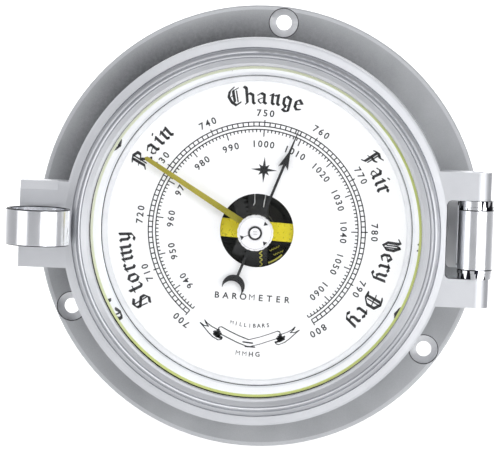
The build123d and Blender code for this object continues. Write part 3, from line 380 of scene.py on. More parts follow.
def barrel_material(name, end, leaf=0.0):
    """Soft chrome of a barrel with dark and bright reflections at its ends, the dark ones painted, and a
    leaf painted flat white as its bright reflection.

    The ends start at a height above and below the middle, and the leaf is left of a place
    on the X axis, both in millimetres.
    """
    material, shader = new_material(name, CHROME_LIGHT, metallic=1.0)
    links = material.node_tree.links
    axes = place_axes(material)
    height = math_node(material, "ABSOLUTE", axes["Z"])
    beyond = math_node(material, "GREATER_THAN", height, end * MM)
    # Painted dark reflections on the ends of the barrel
    patches = noise(material, END_REFLECTION_SCALE, END_REFLECTION_DETAIL, END_REFLECTION_STRETCH)
    reflection_patch = math_node(material, "GREATER_THAN", patches, END_REFLECTION_START)
    line = math_node(material, "LESS_THAN", height, (end + END_LINE) * MM)
    dark = math_node(material, "MULTIPLY", beyond, math_node(material, "MAXIMUM", reflection_patch, line))
    cloud = mix_node(material, noise(material, CLOUD_SCALE, CLOUD_DETAIL), CHROME_DARK, CHROME_LIGHT)
    colour = mix_node(material, dark, cloud, END_REFLECTION_COLOUR)
    if leaf:
        # Painted reflection: the leaf is flat white and not metal
        on_leaf = math_node(material, "LESS_THAN", axes["X"], leaf * MM)
        colour = mix_node(material, on_leaf, colour, LEAF_REFLECTION_WHITE)
        links.new(math_node(material, "SUBTRACT", 1.0, on_leaf), shader.inputs["Metallic"])
    links.new(colour, shader.inputs["Base Color"])
    gloss = noise(material, CHROME_GRAIN, METAL_DETAIL)
    spread(material, gloss, BARREL_ROUGH[0], BARREL_ROUGH[1], shader.inputs["Roughness"])
    bump(material, shader, gloss, CHROME_RELIEF, CHROME_DEPTH)
    return material


SATIN_CASE = metal(
    "satin_case", dark=(0.49, 0.50, 0.515), light=(0.54, 0.55, 0.565),
    rough=(0.70, 0.78), grain=2600, relief=0.3, depth=0.012,
)
# Painted shade by the ring and a painted highlight on the rim of the flange
tarnish_flange(SATIN_CASE)
polish_cups(SATIN_CASE)
SATIN_BEZEL = metal(
    "satin_bezel", dark=(0.58, 0.59, 0.615), light=(0.63, 0.64, 0.665),
    rough=(0.42, 0.49), grain=2600, relief=0.15, depth=0.008,
)
CHROME = metal(
    "polished_chrome", dark=CHROME_DARK, light=CHROME_LIGHT,
    rough=(0.20, 0.26), grain=CHROME_GRAIN, relief=CHROME_RELIEF, depth=CHROME_DEPTH,
)
CONE = metal(
    "mirror_cone", dark=(0.90, 0.91, 0.92), light=(0.94, 0.95, 0.96),
    rough=(0.03, 0.06), grain=300, relief=0.02, depth=0.01,
)
KNOB = plain(
    "knob_silver", dark=(0.90, 0.90, 0.92), light=(0.95, 0.95, 0.96),
    rough=(0.30, 0.38), grain=900, relief=0.05, depth=0.005, metallic=0.35,
)
RING = plain(
    "dial_ring_satin", dark=(0.84, 0.85, 0.88), light=(0.90, 0.91, 0.94),
    rough=(0.38, 0.48), grain=1500, relief=0.1, depth=0.01, metallic=0.5,
)
# White of the wires in the window: a painted glint
GLINT_WHITE_WIRE = plain(
    "bright_wire", dark=(0.90, 0.90, 0.90), light=(0.97, 0.97, 0.97),
    rough=(0.25, 0.35), grain=900, relief=0.05, metallic=0.1,
)
SPRING = plain(
    "spring_brass", dark=(0.90, 0.84, 0.10), light=(0.96, 0.92, 0.22),
    rough=(0.25, 0.35), grain=900, relief=0.05, metallic=0.2,
)
STEEL = metal(
    "bright_steel", dark=(0.55, 0.55, 0.57), light=(0.66, 0.66, 0.68),
    rough=(0.22, 0.36), grain=1200, relief=0.2, depth=0.01, stretch=(1, 6, 1),
)
BLUED = metal(
    "spring_steel", dark=(0.40, 0.40, 0.46), light=(0.55, 0.55, 0.60),
    rough=(0.20, 0.30), grain=900, relief=0.1,
)
ZINC = metal(
    "zinc_plate", dark=(0.50, 0.50, 0.47), light=(0.66, 0.66, 0.62),
    rough=(0.34, 0.50), grain=700, relief=0.2,
)
BRASS = plain(
    "movement_brass", dark=(0.80, 0.66, 0.015), light=(0.90, 0.78, 0.03),
    rough=(0.25, 0.36), grain=900, relief=0.15, metallic=0.5,
)
HAND_BRASS = metal(
    "hand_brass", dark=(0.42, 0.37, 0.05), light=(0.54, 0.47, 0.08),
    rough=(0.28, 0.40), grain=900, relief=0.15,
)
# Painted shade: the capsule deep in the window is coloured near black
CAPSULE_IN_SHADE = metal(
    "capsule_metal", dark=(0.020, 0.019, 0.018), light=(0.045, 0.042, 0.038),
    rough=(0.40, 0.55), grain=700, relief=0.2,
)
DIAL = plain(
    "dial_white", dark=(0.94, 0.945, 0.955), light=(0.97, 0.975, 0.985),
    rough=(0.42, 0.52), grain=900, relief=0.05,
)
# Painted shade: the plate behind the window is black where only shade shows
PLATE_IN_SHADE = plain(
    "black_plate", dark=(0.006, 0.006, 0.007), light=(0.014, 0.014, 0.016),
    rough=(0.4, 0.6), grain=900, relief=0.15,
)
HAND_BLACK = plain(
    "hand_black", dark=(0.004, 0.004, 0.005), light=(0.012, 0.012, 0.014),
    rough=(0.25, 0.4), grain=900, relief=0.08,
)
RUBBER = plain(
    "gasket_rubber", dark=(0.008, 0.008, 0.008), light=(0.02, 0.02, 0.02),
    rough=(0.6, 0.8), grain=1200, relief=0.3,
)
INK = plain(
    "print_ink", dark=(0.006, 0.006, 0.008), light=(0.016, 0.016, 0.02),
    rough=(0.45, 0.6), grain=900, relief=0.05,
)
GLASS = glass_material()
EDGE_TINT = edge_tint_material()
HINGE_BARREL = barrel_material("hinge_chrome", end=10.0, leaf=68.0)
HINGE_WASHER = barrel_material("washer_chrome", end=8.0)
LATCH_BARREL = barrel_material("latch_chrome", end=5.9)

BY_SLOT = {
    "satin_case": SATIN_CASE,
    "satin_bezel": SATIN_BEZEL,
    "polished_chrome": CHROME,
    "mirror_cone": CONE,
    "knob_silver": KNOB,
    "dial_ring_satin": RING,
    "steel": STEEL,
    "spring_steel": BLUED,
    "zinc": ZINC,
    "brass": BRASS,
    "hand_brass": HAND_BRASS,
    "capsule_metal": CAPSULE_IN_SHADE,
    "dial_white": DIAL,
    "black_plate": PLATE_IN_SHADE,
    "hand_black": HAND_BLACK,
    "gasket_rubber": RUBBER,
    "glass": GLASS,
}
BY_NODE = {"hinge_bracket": HINGE_BARREL, "hinge_washers": HINGE_WASHER, "latch_barrel": LATCH_BARREL}

for part in frame["record"]["subparts"]:
    mesh = NODES[part["node"]].data
    mesh.materials.clear()
    mesh.materials.append(BY_NODE.get(part["node"], BY_SLOT[part["material_slot"]]))


# ---------------------------------------------------------------------------------------
# Extra pieces: one maker for all of them
# ---------------------------------------------------------------------------------------
def make_piece(name, points, faces, body, material, smooth=False, sharp_from=None):
    """An object from points in metres and faces, its normals facing out, on its body."""
    mesh = bpy.data.meshes.new(name)
    mesh.from_pydata(points, [], faces)
    solid = bmesh.new()
    solid.from_mesh(mesh)
    bmesh.ops.recalc_face_normals(solid, faces=solid.faces)
    solid.to_mesh(mesh)
    solid.free()
    if smooth:
        mesh.shade_smooth()
    if sharp_from:
        mesh.set_sharp_from_angle(angle=sharp_from)
    mesh.materials.append(material)
    piece = bpy.data.objects.new(name, mesh)
    bpy.context.scene.collection.objects.link(piece)
    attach(piece, body)
    return piece


# ---------------------------------------------------------------------------------------
# Glass and what holds it: finer turned pieces in place of the CAD ones
# ---------------------------------------------------------------------------------------
TURNED_STEPS = 256
TURNED_SHARP = radians(25)


def lathe(name, profile, material):
    """A closed ring on the bezel: a profile of (radius, depth) in millimetres, turned about the Y axis."""
    points, faces = [], []
    count = len(profile)
    for step in range(TURNED_STEPS):
        turn = 2 * pi * step / TURNED_STEPS
        for radius, depth in profile:
            points.append((radius * sin(turn) * MM, -depth * MM, radius * cos(turn) * MM))
    for step in range(TURNED_STEPS):
        a, b = step * count, (step + 1) % TURNED_STEPS * count
        for i in range(count):
            j = (i + 1) % count
            faces.append([a + i, b + i, b + j, a + j])
    return make_piece(name, points, faces, "bezel", material, smooth=True, sharp_from=TURNED_SHARP)


GLASS_BORE_R = 3.2
GLASS_R = 58.1
GLASS_BACK = 28.84
GLASS_FRONT = 30.78
GLASS_ROUND = 0.08


def glass_disc():
    """The round glass with a hole in the middle and eased edges."""
    profile = [
        (GLASS_BORE_R, GLASS_BACK + GLASS_ROUND),
        (GLASS_BORE_R + GLASS_ROUND, GLASS_BACK),
        (GLASS_R - GLASS_ROUND, GLASS_BACK),
        (GLASS_R, GLASS_BACK + GLASS_ROUND),
        (GLASS_R, GLASS_FRONT - GLASS_ROUND),
        (GLASS_R - GLASS_ROUND, GLASS_FRONT),
        (GLASS_BORE_R + GLASS_ROUND, GLASS_FRONT),
        (GLASS_BORE_R, GLASS_FRONT - GLASS_ROUND),
    ]
    pane = lathe("glass_disc", profile, GLASS)
    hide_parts("glass_pane")


CONE_INNER_R = 53.2
CONE_BACK = 22.75
CONE_BACK_R = 54.6
CONE_LIP = 0.45
CONE_SLOPE = [(53.9, 24.35), (54.8, 26.0), (55.6, 27.6), (56.0, 28.45)]
CONE_SEAT = 28.55
CONE_SEAT_INNER_R = 56.2
CONE_SEAT_OUTER_R = 58.25
CONE_SHOULDER = 25.3


def reflector_cone():
    """The polished cone behind the glass, slightly hollow, with a flat seat for the glass."""
    profile = [
        (CONE_INNER_R, CONE_BACK),
        (CONE_INNER_R, CONE_BACK + CONE_LIP),
        *CONE_SLOPE,
        (CONE_SEAT_INNER_R, CONE_SEAT),
        (CONE_SEAT_OUTER_R, CONE_SEAT),
        (CONE_SEAT_OUTER_R, CONE_SHOULDER),
        (CONE_BACK_R, CONE_BACK),
    ]
    cone = lathe("reflector_cone", profile, CONE)
    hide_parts("reflector_ring")


GLOW_INNER_R = 55.6
GLOW_OUTER_R = 56.5
GLOW_BACK = 28.62
GLOW_FRONT = 28.76


def glass_edge_glow():
    """The thin greenish ring at the edge of the glass."""
    profile = [
        (GLOW_INNER_R, GLOW_BACK),
        (GLOW_OUTER_R, GLOW_BACK),
        (GLOW_OUTER_R, GLOW_FRONT),
        (GLOW_INNER_R, GLOW_FRONT),
    ]
    lathe("glass_edge_glow", profile, EDGE_TINT)


glass_disc()
reflector_cone()
glass_edge_glow()


# ---------------------------------------------------------------------------------------
# Dial print: thin closed prisms of ink on the dial's face
# ---------------------------------------------------------------------------------------
# Places on the face are (right, up) in millimetres from its middle.
DIAL_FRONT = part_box("dial_plate")[0].y
INK_SUNK = 0.01
INK_RAISED = 0.04
INK_BACK = DIAL_FRONT + INK_SUNK * MM
INK_FRONT = DIAL_FRONT - INK_RAISED * MM
LINE = 0.38
DIAL_TURN = 2.25


def tops_out(radius, angle):
    """Bends writing along a circle, with its tops away from the middle."""
    return lambda x, y: spot(radius + y, angle + degrees(x / radius))


def tops_in(radius, angle):
    """Bends writing along a circle, with its tops towards the middle."""
    return lambda x, y: spot(radius - y, angle - degrees(x / radius))


def straight(radius, angle, turn):
    """Sets writing in a straight line about a place, turned clockwise."""
    x0, y0 = spot(radius, angle)
    c, s = cos(radians(turn)), sin(radians(turn))
    return lambda x, y: (x0 + c * x + s * y, y0 - s * x + c * y)


TINY = 1e-9


def hull(spots):
    """The convex outline of some places, anticlockwise."""
    ordered = sorted(set(spots))

    def half(run):
        edge = []
        for x, y in run:
            while len(edge) > 1:
                (ax, ay), (bx, by) = edge[-2:]
                if (bx - ax) * (y - ay) - (by - ay) * (x - ax) > TINY:
                    break
                edge.pop()
            edge.append((x, y))
        return edge[:-1]

    return half(ordered) + half(reversed(ordered))


LETTER_WEIGHT = 0.02
LETTER_M_WEIGHT = -0.008
LETTER_CURVE_STEPS = 3
MERGE_DISTANCE = 1e-5


def letter_mesh(letter):
    """Points and faces of a built-in font character, centred, one unit deep, on the line of writing."""
    text = bpy.data.curves.new("letter", "FONT")
    text.body = letter
    text.align_x = "CENTER"
    text.resolution_u = LETTER_CURVE_STEPS
    text.offset = LETTER_M_WEIGHT if letter == "M" else LETTER_WEIGHT
    text.extrude = 0.5
    holder = bpy.data.objects.new("letter", text)
    mesh = bpy.data.meshes.new_from_object(holder)
    solid = bmesh.new()
    solid.from_mesh(mesh)
    bmesh.ops.remove_doubles(solid, verts=solid.verts, dist=MERGE_DISTANCE)
    points = [tuple(vert.co) for vert in solid.verts]
    faces = [[vert.index for vert in face.verts] for face in solid.faces]
    solid.free()
    bpy.data.objects.remove(holder)
    bpy.data.curves.remove(text)
    bpy.data.meshes.remove(mesh)
    return points, faces


LETTERS = {letter: letter_mesh(letter) for letter in "0123456789ABEGHILMORST"}
CAPITAL = max(y for x, y, z in LETTERS["H"][0])
FULL_TURN = 360
ARC_STEP = 2
ARC_LEAST_STEPS = 8


class Print:
    """Gathers prisms and makes one object from them."""

    def __init__(self, back=INK_BACK, front=INK_FRONT):
        self.points = []
        self.faces = []
        self.back = back
        self.front = front

    def prism(self, outline):
        """A closed prism over an outline."""
        first, count = len(self.points), len(outline)
        for depth in (self.back, self.front):
            self.points += [(x * MM, depth, z * MM) for x, z in outline]
        self.faces.append([first + i for i in range(count)])
        self.faces.append([first + count + i for i in reversed(range(count))])
        for i in range(count):
            j = (i + 1) % count
            self.faces.append([first + i, first + count + i, first + count + j, first + j])

    def pen(self, line, nib, place):
        """A line of writing: a flat nib, (half across, half up, half thick), moved along points."""
        across, up, thick = nib
        size = (across**2 + up**2) ** 0.5
        side = (-up / size * thick, across / size * thick)
        corners = [(a * across + b * side[0], a * up + b * side[1]) for a in (-1, 1) for b in (-1, 1)]
        for start, end in zip(line, line[1:]):
            swept = [(x + dx, y + dy) for x, y in (start, end) for dx, dy in corners]
            self.prism([place(x, y) for x, y in hull(swept)])

    def bar(self, start, end, width):
        """A straight bar between two places."""
        (ax, ay), (bx, by) = start, end
        size = ((bx - ax) ** 2 + (by - ay) ** 2) ** 0.5
        dx, dy = -(by - ay) / size * width / 2, (bx - ax) / size * width / 2
        self.prism([(ax + dx, ay + dy), (ax - dx, ay - dy), (bx - dx, by - dy), (bx + dx, by + dy)])

    def arc(self, radius, width, start=0, end=FULL_TURN):
        """A band along a circle, a ring if it goes all the way round."""
        steps = max(ARC_LEAST_STEPS, round((end - start) / ARC_STEP))
        closed = end - start == FULL_TURN
        count = steps if closed else steps + 1
        first = len(self.points)
        for i in range(count):
            angle = start + (end - start) * i / steps
            for edge, depth in ((-1, self.back), (1, self.back), (1, self.front), (-1, self.front)):
                x, z = spot(radius + edge * width / 2, angle)
                self.points.append((x * MM, depth, z * MM))
        for i in range(steps):
            a, b = first + 4 * i, first + 4 * ((i + 1) % count)
            for k in range(4):
                self.faces.append([a + k, a + (k + 1) % 4, b + (k + 1) % 4, b + k])
        if not closed:
            self.faces.append([first + k for k in range(4)])
            self.faces.append([first + 4 * steps + k for k in reversed(range(4))])

    def write(self, text, height, pitch, place, drop=0.5):
        """Characters of the built-in font one by one; drop is the share of their height below the line."""
        scale = height / CAPITAL
        for index, letter in enumerate(text):
            points, faces = LETTERS[letter]
            along = (index - (len(text) - 1) / 2) * pitch
            first = len(self.points)
            for x, y, z in points:
                px, pz = place(along + x * scale, y * scale - drop * height)
                self.points.append((px * MM, self.front if z > 0 else self.back, pz * MM))
            self.faces += [[first + i for i in face] for face in faces]

    def make(self, name, body="case", material=INK, slot="hand_black"):
        """Makes the finished object, on its body."""
        make_piece(name, self.points, self.faces, body, material)


# Two scales on one pressure axis. A digit has a height and a pitch.
MMHG_MIDDLE = 750
MMHG_RANGE = (700, 800)
MB_MIDDLE = 1000
MB_RANGE = (933, 1067)
MB_PER_MMHG = 1.3332
DEGREES_PER_MMHG = 2.885
DEGREES_PER_MB = DEGREES_PER_MMHG / MB_PER_MMHG
NUMBER_STEP = 10
LADDER_OUT_R = 37.1
LADDER_IN_R = 35.7
LADDER_LONG = 0.8
COMB_R = 34.6
COMB_TIP_R = 33.6
COMB_LONG_TIP_R = 32.2
MMHG_NUMBER_R = 40.3
MMHG_DIGIT = (2.25, 2.25)
MB_NUMBER_R = 29.7
MB_DIGIT = (2.2, 2.05)


def mmhg_angle(value):
    """Clock angle of a pressure in millimetres of mercury."""
    return DIAL_TURN + (value - MMHG_MIDDLE) * DEGREES_PER_MMHG


def mb_angle(value):
    """Clock angle of a pressure in millibars."""
    return DIAL_TURN + (value - MB_MIDDLE) * DEGREES_PER_MB


def print_scales():
    """The ladder of the outer scale and the comb of the inner scale."""
    scales = Print()
    low, high = MMHG_RANGE
    for radius in (LADDER_OUT_R, LADDER_IN_R):
        scales.arc(radius, LINE, mmhg_angle(low), mmhg_angle(high))
    for value in range(low, high + 1):
        tip = LADDER_OUT_R + (0 if value % NUMBER_STEP else LADDER_LONG)
        scales.bar(spot(LADDER_IN_R, mmhg_angle(value)), spot(tip, mmhg_angle(value)), LINE)
    low, high = MB_RANGE
    scales.arc(COMB_R, LINE, mb_angle(low), mb_angle(high))
    for value in range(low, high + 1):
        tip = COMB_TIP_R if value % NUMBER_STEP else COMB_LONG_TIP_R
        scales.bar(spot(COMB_R, mb_angle(value)), spot(tip, mb_angle(value)), LINE)
    scales.make("scale_print")


def print_numbers():
    """The numbers of both scales, at every tenth line."""
    numbers = Print()
    for value in range(MMHG_RANGE[0], MMHG_RANGE[1] + 1):
        if value % NUMBER_STEP == 0:
            numbers.write(str(value), *MMHG_DIGIT, tops_out(MMHG_NUMBER_R, mmhg_angle(value)))
    for value in range(MB_RANGE[0], MB_RANGE[1] + 1):
        if value % NUMBER_STEP == 0:
            numbers.write(str(value), *MB_DIGIT, tops_out(MB_NUMBER_R, mb_angle(value)))
    numbers.make("number_print")


# Blackletter characters in millimetres: advance, lines of the full nib, hairlines. The line
# of writing is at zero and small letters are 3.6 high.
def minim(x):
    """The short upright that most small letters are built from."""
    return [(x - 0.5, 3.1), (x, 3.6), (x, 0.5), (x + 0.5, 0.1)]


BLACKLETTER = {
    "a": (
        3.0,
        [[(0.4, 3.0), (1.1, 3.6), (1.9, 3.1), (1.9, 0.5), (2.4, 0.1)]],
        [
            [(1.9, 2.2), (0.7, 1.6), (0.4, 0.9), (1.0, 0.1), (1.9, 0.7)],
            [(0.4, 1.5), (0.4, 0.8), (1.0, 0.1)],
        ],
    ),
    "e": (
        2.7,
        [[(2.1, 2.5), (1.2, 3.6), (0.5, 2.8), (0.5, 0.9), (1.1, 0.1), (2.0, 0.5)]],
        [[(2.1, 2.6), (0.6, 1.7)]],
    ),
    "g": (
        2.9,
        [
            [(1.1, 3.6), (0.5, 2.9), (0.5, 1.0), (1.1, 0.3), (1.1, -0.3), (0.5, -1.0)],
            [(1.1, 3.6), (2.1, 2.9), (2.1, -1.2), (1.3, -1.5), (0.5, -1.0)],
        ],
        [[(1.2, 0.3), (2.1, 0.9)]],
    ),
    "h": (
        3.1,
        [
            [(0.3, 5.9), (0.8, 5.4), (0.8, 0.5), (0.4, 0.1)],
            [(0.8, 2.9), (1.5, 3.6), (2.3, 3.0), (2.3, 0.4), (2.7, 0)],
        ],
        [],
    ),
    "i": (1.7, [minim(0.8), [(0.75, 5.0), (0.85, 5.0)]], []),
    "m": (4.7, [minim(0.8), minim(2.3), minim(3.8)], [[(0.8, 2.9), (1.8, 3.5)], [(2.3, 2.9), (3.3, 3.5)]]),
    "n": (3.1, [minim(0.8), minim(2.2)], [[(0.8, 2.9), (1.7, 3.4)]]),
    "o": (2.9, [[(1.2, 3.6), (0.5, 2.8), (0.5, 0.9), (1.2, 0.1), (2.1, 0.8), (2.1, 2.9), (1.2, 3.6)]], []),
    "r": (2.4, [minim(0.8), [(0.8, 3.0), (1.5, 3.6), (2.0, 3.2)]], []),
    "t": (2.3, [[(1.0, 4.8), (1.0, 0.6), (1.5, 0.1), (2.0, 0.5)]], [[(0.2, 3.4), (1.9, 3.4)]]),
    "y": (
        3.0,
        [
            [(0.4, 3.4), (0.8, 3.0), (0.8, 0.9), (1.3, 0.2), (2.1, 0.7)],
            [(2.2, 3.6), (2.2, -0.6), (1.3, -1.5), (0.6, -1.2)],
        ],
        [],
    ),
    "C": (
        3.9,
        [[(1.9, 6.0), (0.9, 5.0), (0.4, 3.3), (0.9, 1.2), (1.9, 0), (3.1, 0.7)], [(1.7, 5.0), (1.7, 1.2)]],
        [[(1.7, 5.0), (2.3, 5.3), (3.0, 5.7)], [(1.0, 3.1), (1.7, 3.5)], [(2.5, 4.8), (2.5, 1.0)]],
    ),
    "D": (
        3.9,
        [[(0.3, 5.4), (1.6, 5.9), (3.0, 4.6), (3.1, 1.8), (2.0, 0.2), (0.4, 0.2)], [(1.2, 5.2), (1.2, 0.6)]],
        [[(1.9, 5.0), (1.9, 0.9)], [(0.2, 3.0), (1.2, 3.3)], [(1.2, 3.0), (2.9, 3.4)]],
    ),
    "F": (
        3.9,
        [
            [(1.0, 5.4), (1.0, 0.5), (0.3, 0)],
            [(0.2, 5.2), (1.2, 5.9), (2.4, 5.4), (3.1, 5.9)],
            [(1.0, 3.2), (2.4, 3.2), (2.7, 3.7)],
        ],
        [[(1.7, 5.4), (1.7, 1.0)], [(0.2, 2.4), (1.0, 2.8)]],
    ),
    "R": (
        3.9,
        [
            [(0.9, 5.2), (0.9, 0.9), (0.3, 0.2)],
            [(0.3, 5.3), (1.5, 6.0), (2.7, 5.2), (2.7, 4.0), (1.6, 3.1)],
            [(1.8, 3.1), (2.9, 0.6), (3.5, 0.2)],
        ],
        [[(1.6, 5.6), (1.6, 0.7)], [(0.2, 2.8), (0.9, 3.2)]],
    ),
    "S": (
        3.9,
        [[(3.0, 4.9), (2.0, 5.9), (0.9, 5.3), (0.8, 4.2), (2.6, 2.4), (2.6, 1.0), (1.6, 0), (0.3, 0.7)]],
        [[(1.9, 5.6), (1.9, 0.4)], [(0.8, 4.2), (0.5, 1.6)]],
    ),
    "V": (
        3.9,
        [
            [(0.2, 5.3), (0.9, 5.9), (1.2, 5.2), (1.0, 1.6), (1.9, 0)]
            + [(3.0, 1.2), (3.1, 3.8), (2.3, 5.9), (2.0, 5.0)],
        ],
        [[(1.8, 4.8), (1.8, 1.2)], [(2.4, 5.4), (2.4, 0.8)]],
    ),
}
NIB = (0.37, 0.25, 0.19)
HAIRLINE = (0.17, 0.12, 0.11)
# Each word with the clock angles at its start and its end
WEATHER = [
    ("Stormy", 233.5, 268),
    ("Rain", 296.5, 318),
    ("Change", 345.5, 379),
    ("Fair", 53.5, 72),
    ("Very", 91.5, 111),
    ("Dry", 116, 134),
]
WEATHER_R = 43.4
WEATHER_MIDDLE_R = WEATHER_R + 2.4
LETTER_WIDTH_SHARE = 0.95


def print_weather():
    """The weather words in blackletter round the edge, each spread over its own arc."""
    words = Print()
    for word, start, end in WEATHER:
        natural = sum(BLACKLETTER[letter][0] for letter in word)
        stretch = radians(end - start) * WEATHER_MIDDLE_R / natural
        wide = stretch * LETTER_WIDTH_SHARE
        place = tops_out(WEATHER_MIDDLE_R, (start + end) / 2)
        along = -natural / 2 * stretch
        for letter in word:
            advance, strokes, hairlines = BLACKLETTER[letter]
            for lines, nib in ((strokes, NIB), (hairlines, HAIRLINE)):
                for line in lines:
                    moved = [(along + x * wide, y + WEATHER_R - WEATHER_MIDDLE_R) for x, y in line]
                    words.pen(moved, nib, place)
            along += advance * stretch
    words.make("weather_print")


# Right half of the ribbon under the hub, in millimetres from the dial's middle
RIBBON_BAND = [
    [(0, -37.5), (3.5, -36.4), (7.0, -35.0), (9.6, -33.8), (10.4, -34.0), (10.6, -34.9)],
    [(0, -40.0), (4.0, -38.7), (8.3, -36.9), (9.8, -36.3), (10.4, -36.6)],
]
RIBBON_TAIL = [
    [(11.0, -34.8), (13.0, -33.9), (14.6, -32.9), (15.5, -31.9)],
    [(15.5, -31.9), (15.0, -33.0), (14.0, -34.0), (15.6, -33.8), (17.0, -32.9)],
    [(17.0, -32.9), (15.6, -34.3), (14.0, -36.0), (12.3, -37.5), (10.4, -38.4), (9.4, -38.2), (9.1, -37.5)],
]
RIBBON_FOLD = [
    [(9.8, -36.2), (10.7, -37.2), (11.9, -36.4)],
    [(10.2, -35.6), (11.3, -36.4), (11.9, -35.6)],
    [(10.6, -34.9), (11.0, -36.0), (10.4, -37.2), (9.4, -37.6)],
]
RIBBON_MIDDLE = [[(-1.9, -38.4), (1.4, -38.6)], [(-1.0, -39.9), (2.2, -39.9)]]
RIBBON_NIB = (0.13, 0.05, 0.12)
FOLD_NIB = (0.42, 0.2, 0.3)
MIDDLE_NIB = (0.2, 0.05, 0.2)
UPRIGHT = straight(0, 0, DIAL_TURN)


def print_ribbon():
    """The ribbon under the hub: its two mirrored halves and the strokes in its middle."""
    ribbon = Print()
    for side in (1, -1):
        for lines, nib in ((RIBBON_BAND + RIBBON_TAIL, RIBBON_NIB), (RIBBON_FOLD, FOLD_NIB)):
            for line in lines:
                ribbon.pen([(side * x, y) for x, y in line], nib, UPRIGHT)
    for line in RIBBON_MIDDLE:
        ribbon.pen(line, MIDDLE_NIB, UPRIGHT)
    ribbon.make("ribbon_print")


NAME_R = 22.9
MB_NAME_R = 32.6
MMHG_NAME_R = 42.4


def print_words():
    """The spaced word under the hub and the names of the two scales."""
    bottom = 180 + DIAL_TURN
    words = Print()
    words.write("BAROMETER", height=2.1, pitch=3.0, place=straight(NAME_R, bottom, DIAL_TURN))
    words.write("MILLIBARS", height=1.3, pitch=1.55, place=tops_in(MB_NAME_R, bottom))
    words.write("MMHG", height=1.6, pitch=2.25, place=tops_in(MMHG_NAME_R, bottom))
    words.make("word_print")


STAR_MIDDLE = (0.9, 20.9)
STAR_POINTS = 8
STAR_LONG = 4.6
STAR_SHORT = 2.6
STAR_WAIST_R = 1.15
STAR_WAIST_TURN = 30


def print_star():
    """A compass star above the hub, with long and short points by turns."""
    star = Print()
    for point in range(STAR_POINTS):
        angle = FULL_TURN / STAR_POINTS * point
        tip_r = STAR_SHORT if point % 2 else STAR_LONG
        left, right = (spot(STAR_WAIST_R, angle + turn) for turn in (-STAR_WAIST_TURN, STAR_WAIST_TURN))
        corners = [left, (0, 0), right, spot(tip_r, angle)]
        star.prism([UPRIGHT(STAR_MIDDLE[0] + x, STAR_MIDDLE[1] + y) for x, y in corners])
    star.make("star_print")


# Depths on the knob are (back, front) in millimetres, from its face towards the wall.
KNOB_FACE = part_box("set_knob")[0].y
KNOB_MARKS = (47, 135, 250)
KNOB_MARK_R = 4.7
KNOB_MARK_IN = 0.85
KNOB_MARK_OUT = 0.55
KNOB_MARK_TURN = 9.5
POCKET_DEPTHS = (0.39, -0.01)
GROOVE_R = 2.03
GROOVE_WIDTH = 0.58
GROOVE_DEPTHS = (0.2, -0.33)
LINE_DEPTHS = (0.02, -0.02)
SCRATCH_START_R = 2.5
SCRATCH_GAP = 0.7
SCRATCH_WIDTH = 0.16
RING_LINE_R = 5.5
RING_LINE_WIDTH = 0.12
SCREW_DEPTHS = (-0.22, -0.32)
SCREW_MARKS = [((-0.7, 0.5), (0.6, 0.55)), ((-0.5, -0.35), (0.8, -0.45))]
SCREW_MARK_WIDTH = 0.2


def knob_print(depths):
    """Paint between two depths on the knob."""
    back, front = depths
    return Print(KNOB_FACE + back * MM, KNOB_FACE + front * MM)


def knob_paint():
    """Black paint in the three pockets of the knob and in a scratch, and painted shade in the groove round
    its screw.
    """
    marks = knob_print(POCKET_DEPTHS)
    for angle in KNOB_MARKS:
        base_r = KNOB_MARK_R + KNOB_MARK_OUT
        base = [spot(base_r, angle + turn) for turn in (KNOB_MARK_TURN, -KNOB_MARK_TURN)]
        marks.prism([spot(KNOB_MARK_R - KNOB_MARK_IN, angle), *base])
    marks.make("knob_paint", body="marker")
    # Painted shade: a black ring fills the groove between the knob and its screw
    groove = knob_print(GROOVE_DEPTHS)
    groove.arc(GROOVE_R, GROOVE_WIDTH)
    groove.make("knob_groove_shade", body="marker")
    scratch = knob_print(LINE_DEPTHS)
    scratch_end = spot(KNOB_MARK_R - SCRATCH_GAP, KNOB_MARKS[2])
    scratch.bar(spot(SCRATCH_START_R, KNOB_MARKS[2]), scratch_end, SCRATCH_WIDTH)
    scratch.make("knob_scratch", body="marker")


def knob_steel_lines():
    """A bright line round the knob and two bright marks on its screw."""
    ring = knob_print(LINE_DEPTHS)
    ring.arc(RING_LINE_R, RING_LINE_WIDTH)
    ring.make("knob_ring_line", body="marker", material=STEEL, slot="steel")
    slot_marks = knob_print(SCREW_DEPTHS)
    for start, end in SCREW_MARKS:
        slot_marks.bar(start, end, SCREW_MARK_WIDTH)
    slot_marks.make("screw_marks", body="marker", material=STEEL, slot="steel")


knob_paint()
knob_steel_lines()


# ---------------------------------------------------------------------------------------
# Small parts that show in the window: springs, wires and a strip in front of the movement
# ---------------------------------------------------------------------------------------
TUBE_SIDES = 8


def tube(name, line, radius, material):
    """A round wire along points in metres, its radius in millimetres, with closed ends, on the case."""
    points, faces = [], []
    normal = Vector((0, 1, 0))
    for index, here in enumerate(line):
        along = (line[min(index + 1, len(line) - 1)] - line[max(index - 1, 0)]).normalized()
        normal = (normal - along * normal.dot(along)).normalized()
        across = along.cross(normal)
        for side in range(TUBE_SIDES):
            turn = 2 * pi * side / TUBE_SIDES
            points.append(here + (normal * cos(turn) + across * sin(turn)) * radius * MM)
    for index in range(len(line) - 1):
        for side in range(TUBE_SIDES):
            a, b = index * TUBE_SIDES + side, index * TUBE_SIDES + (side + 1) % TUBE_SIDES
            faces.append([a, b, b + TUBE_SIDES, a + TUBE_SIDES])
    faces.append(list(range(TUBE_SIDES)))
    faces.append([len(points) - 1 - side for side in range(TUBE_SIDES)])
    make_piece(name, points, faces, "case", material, smooth=True)


COIL_STEPS = 14


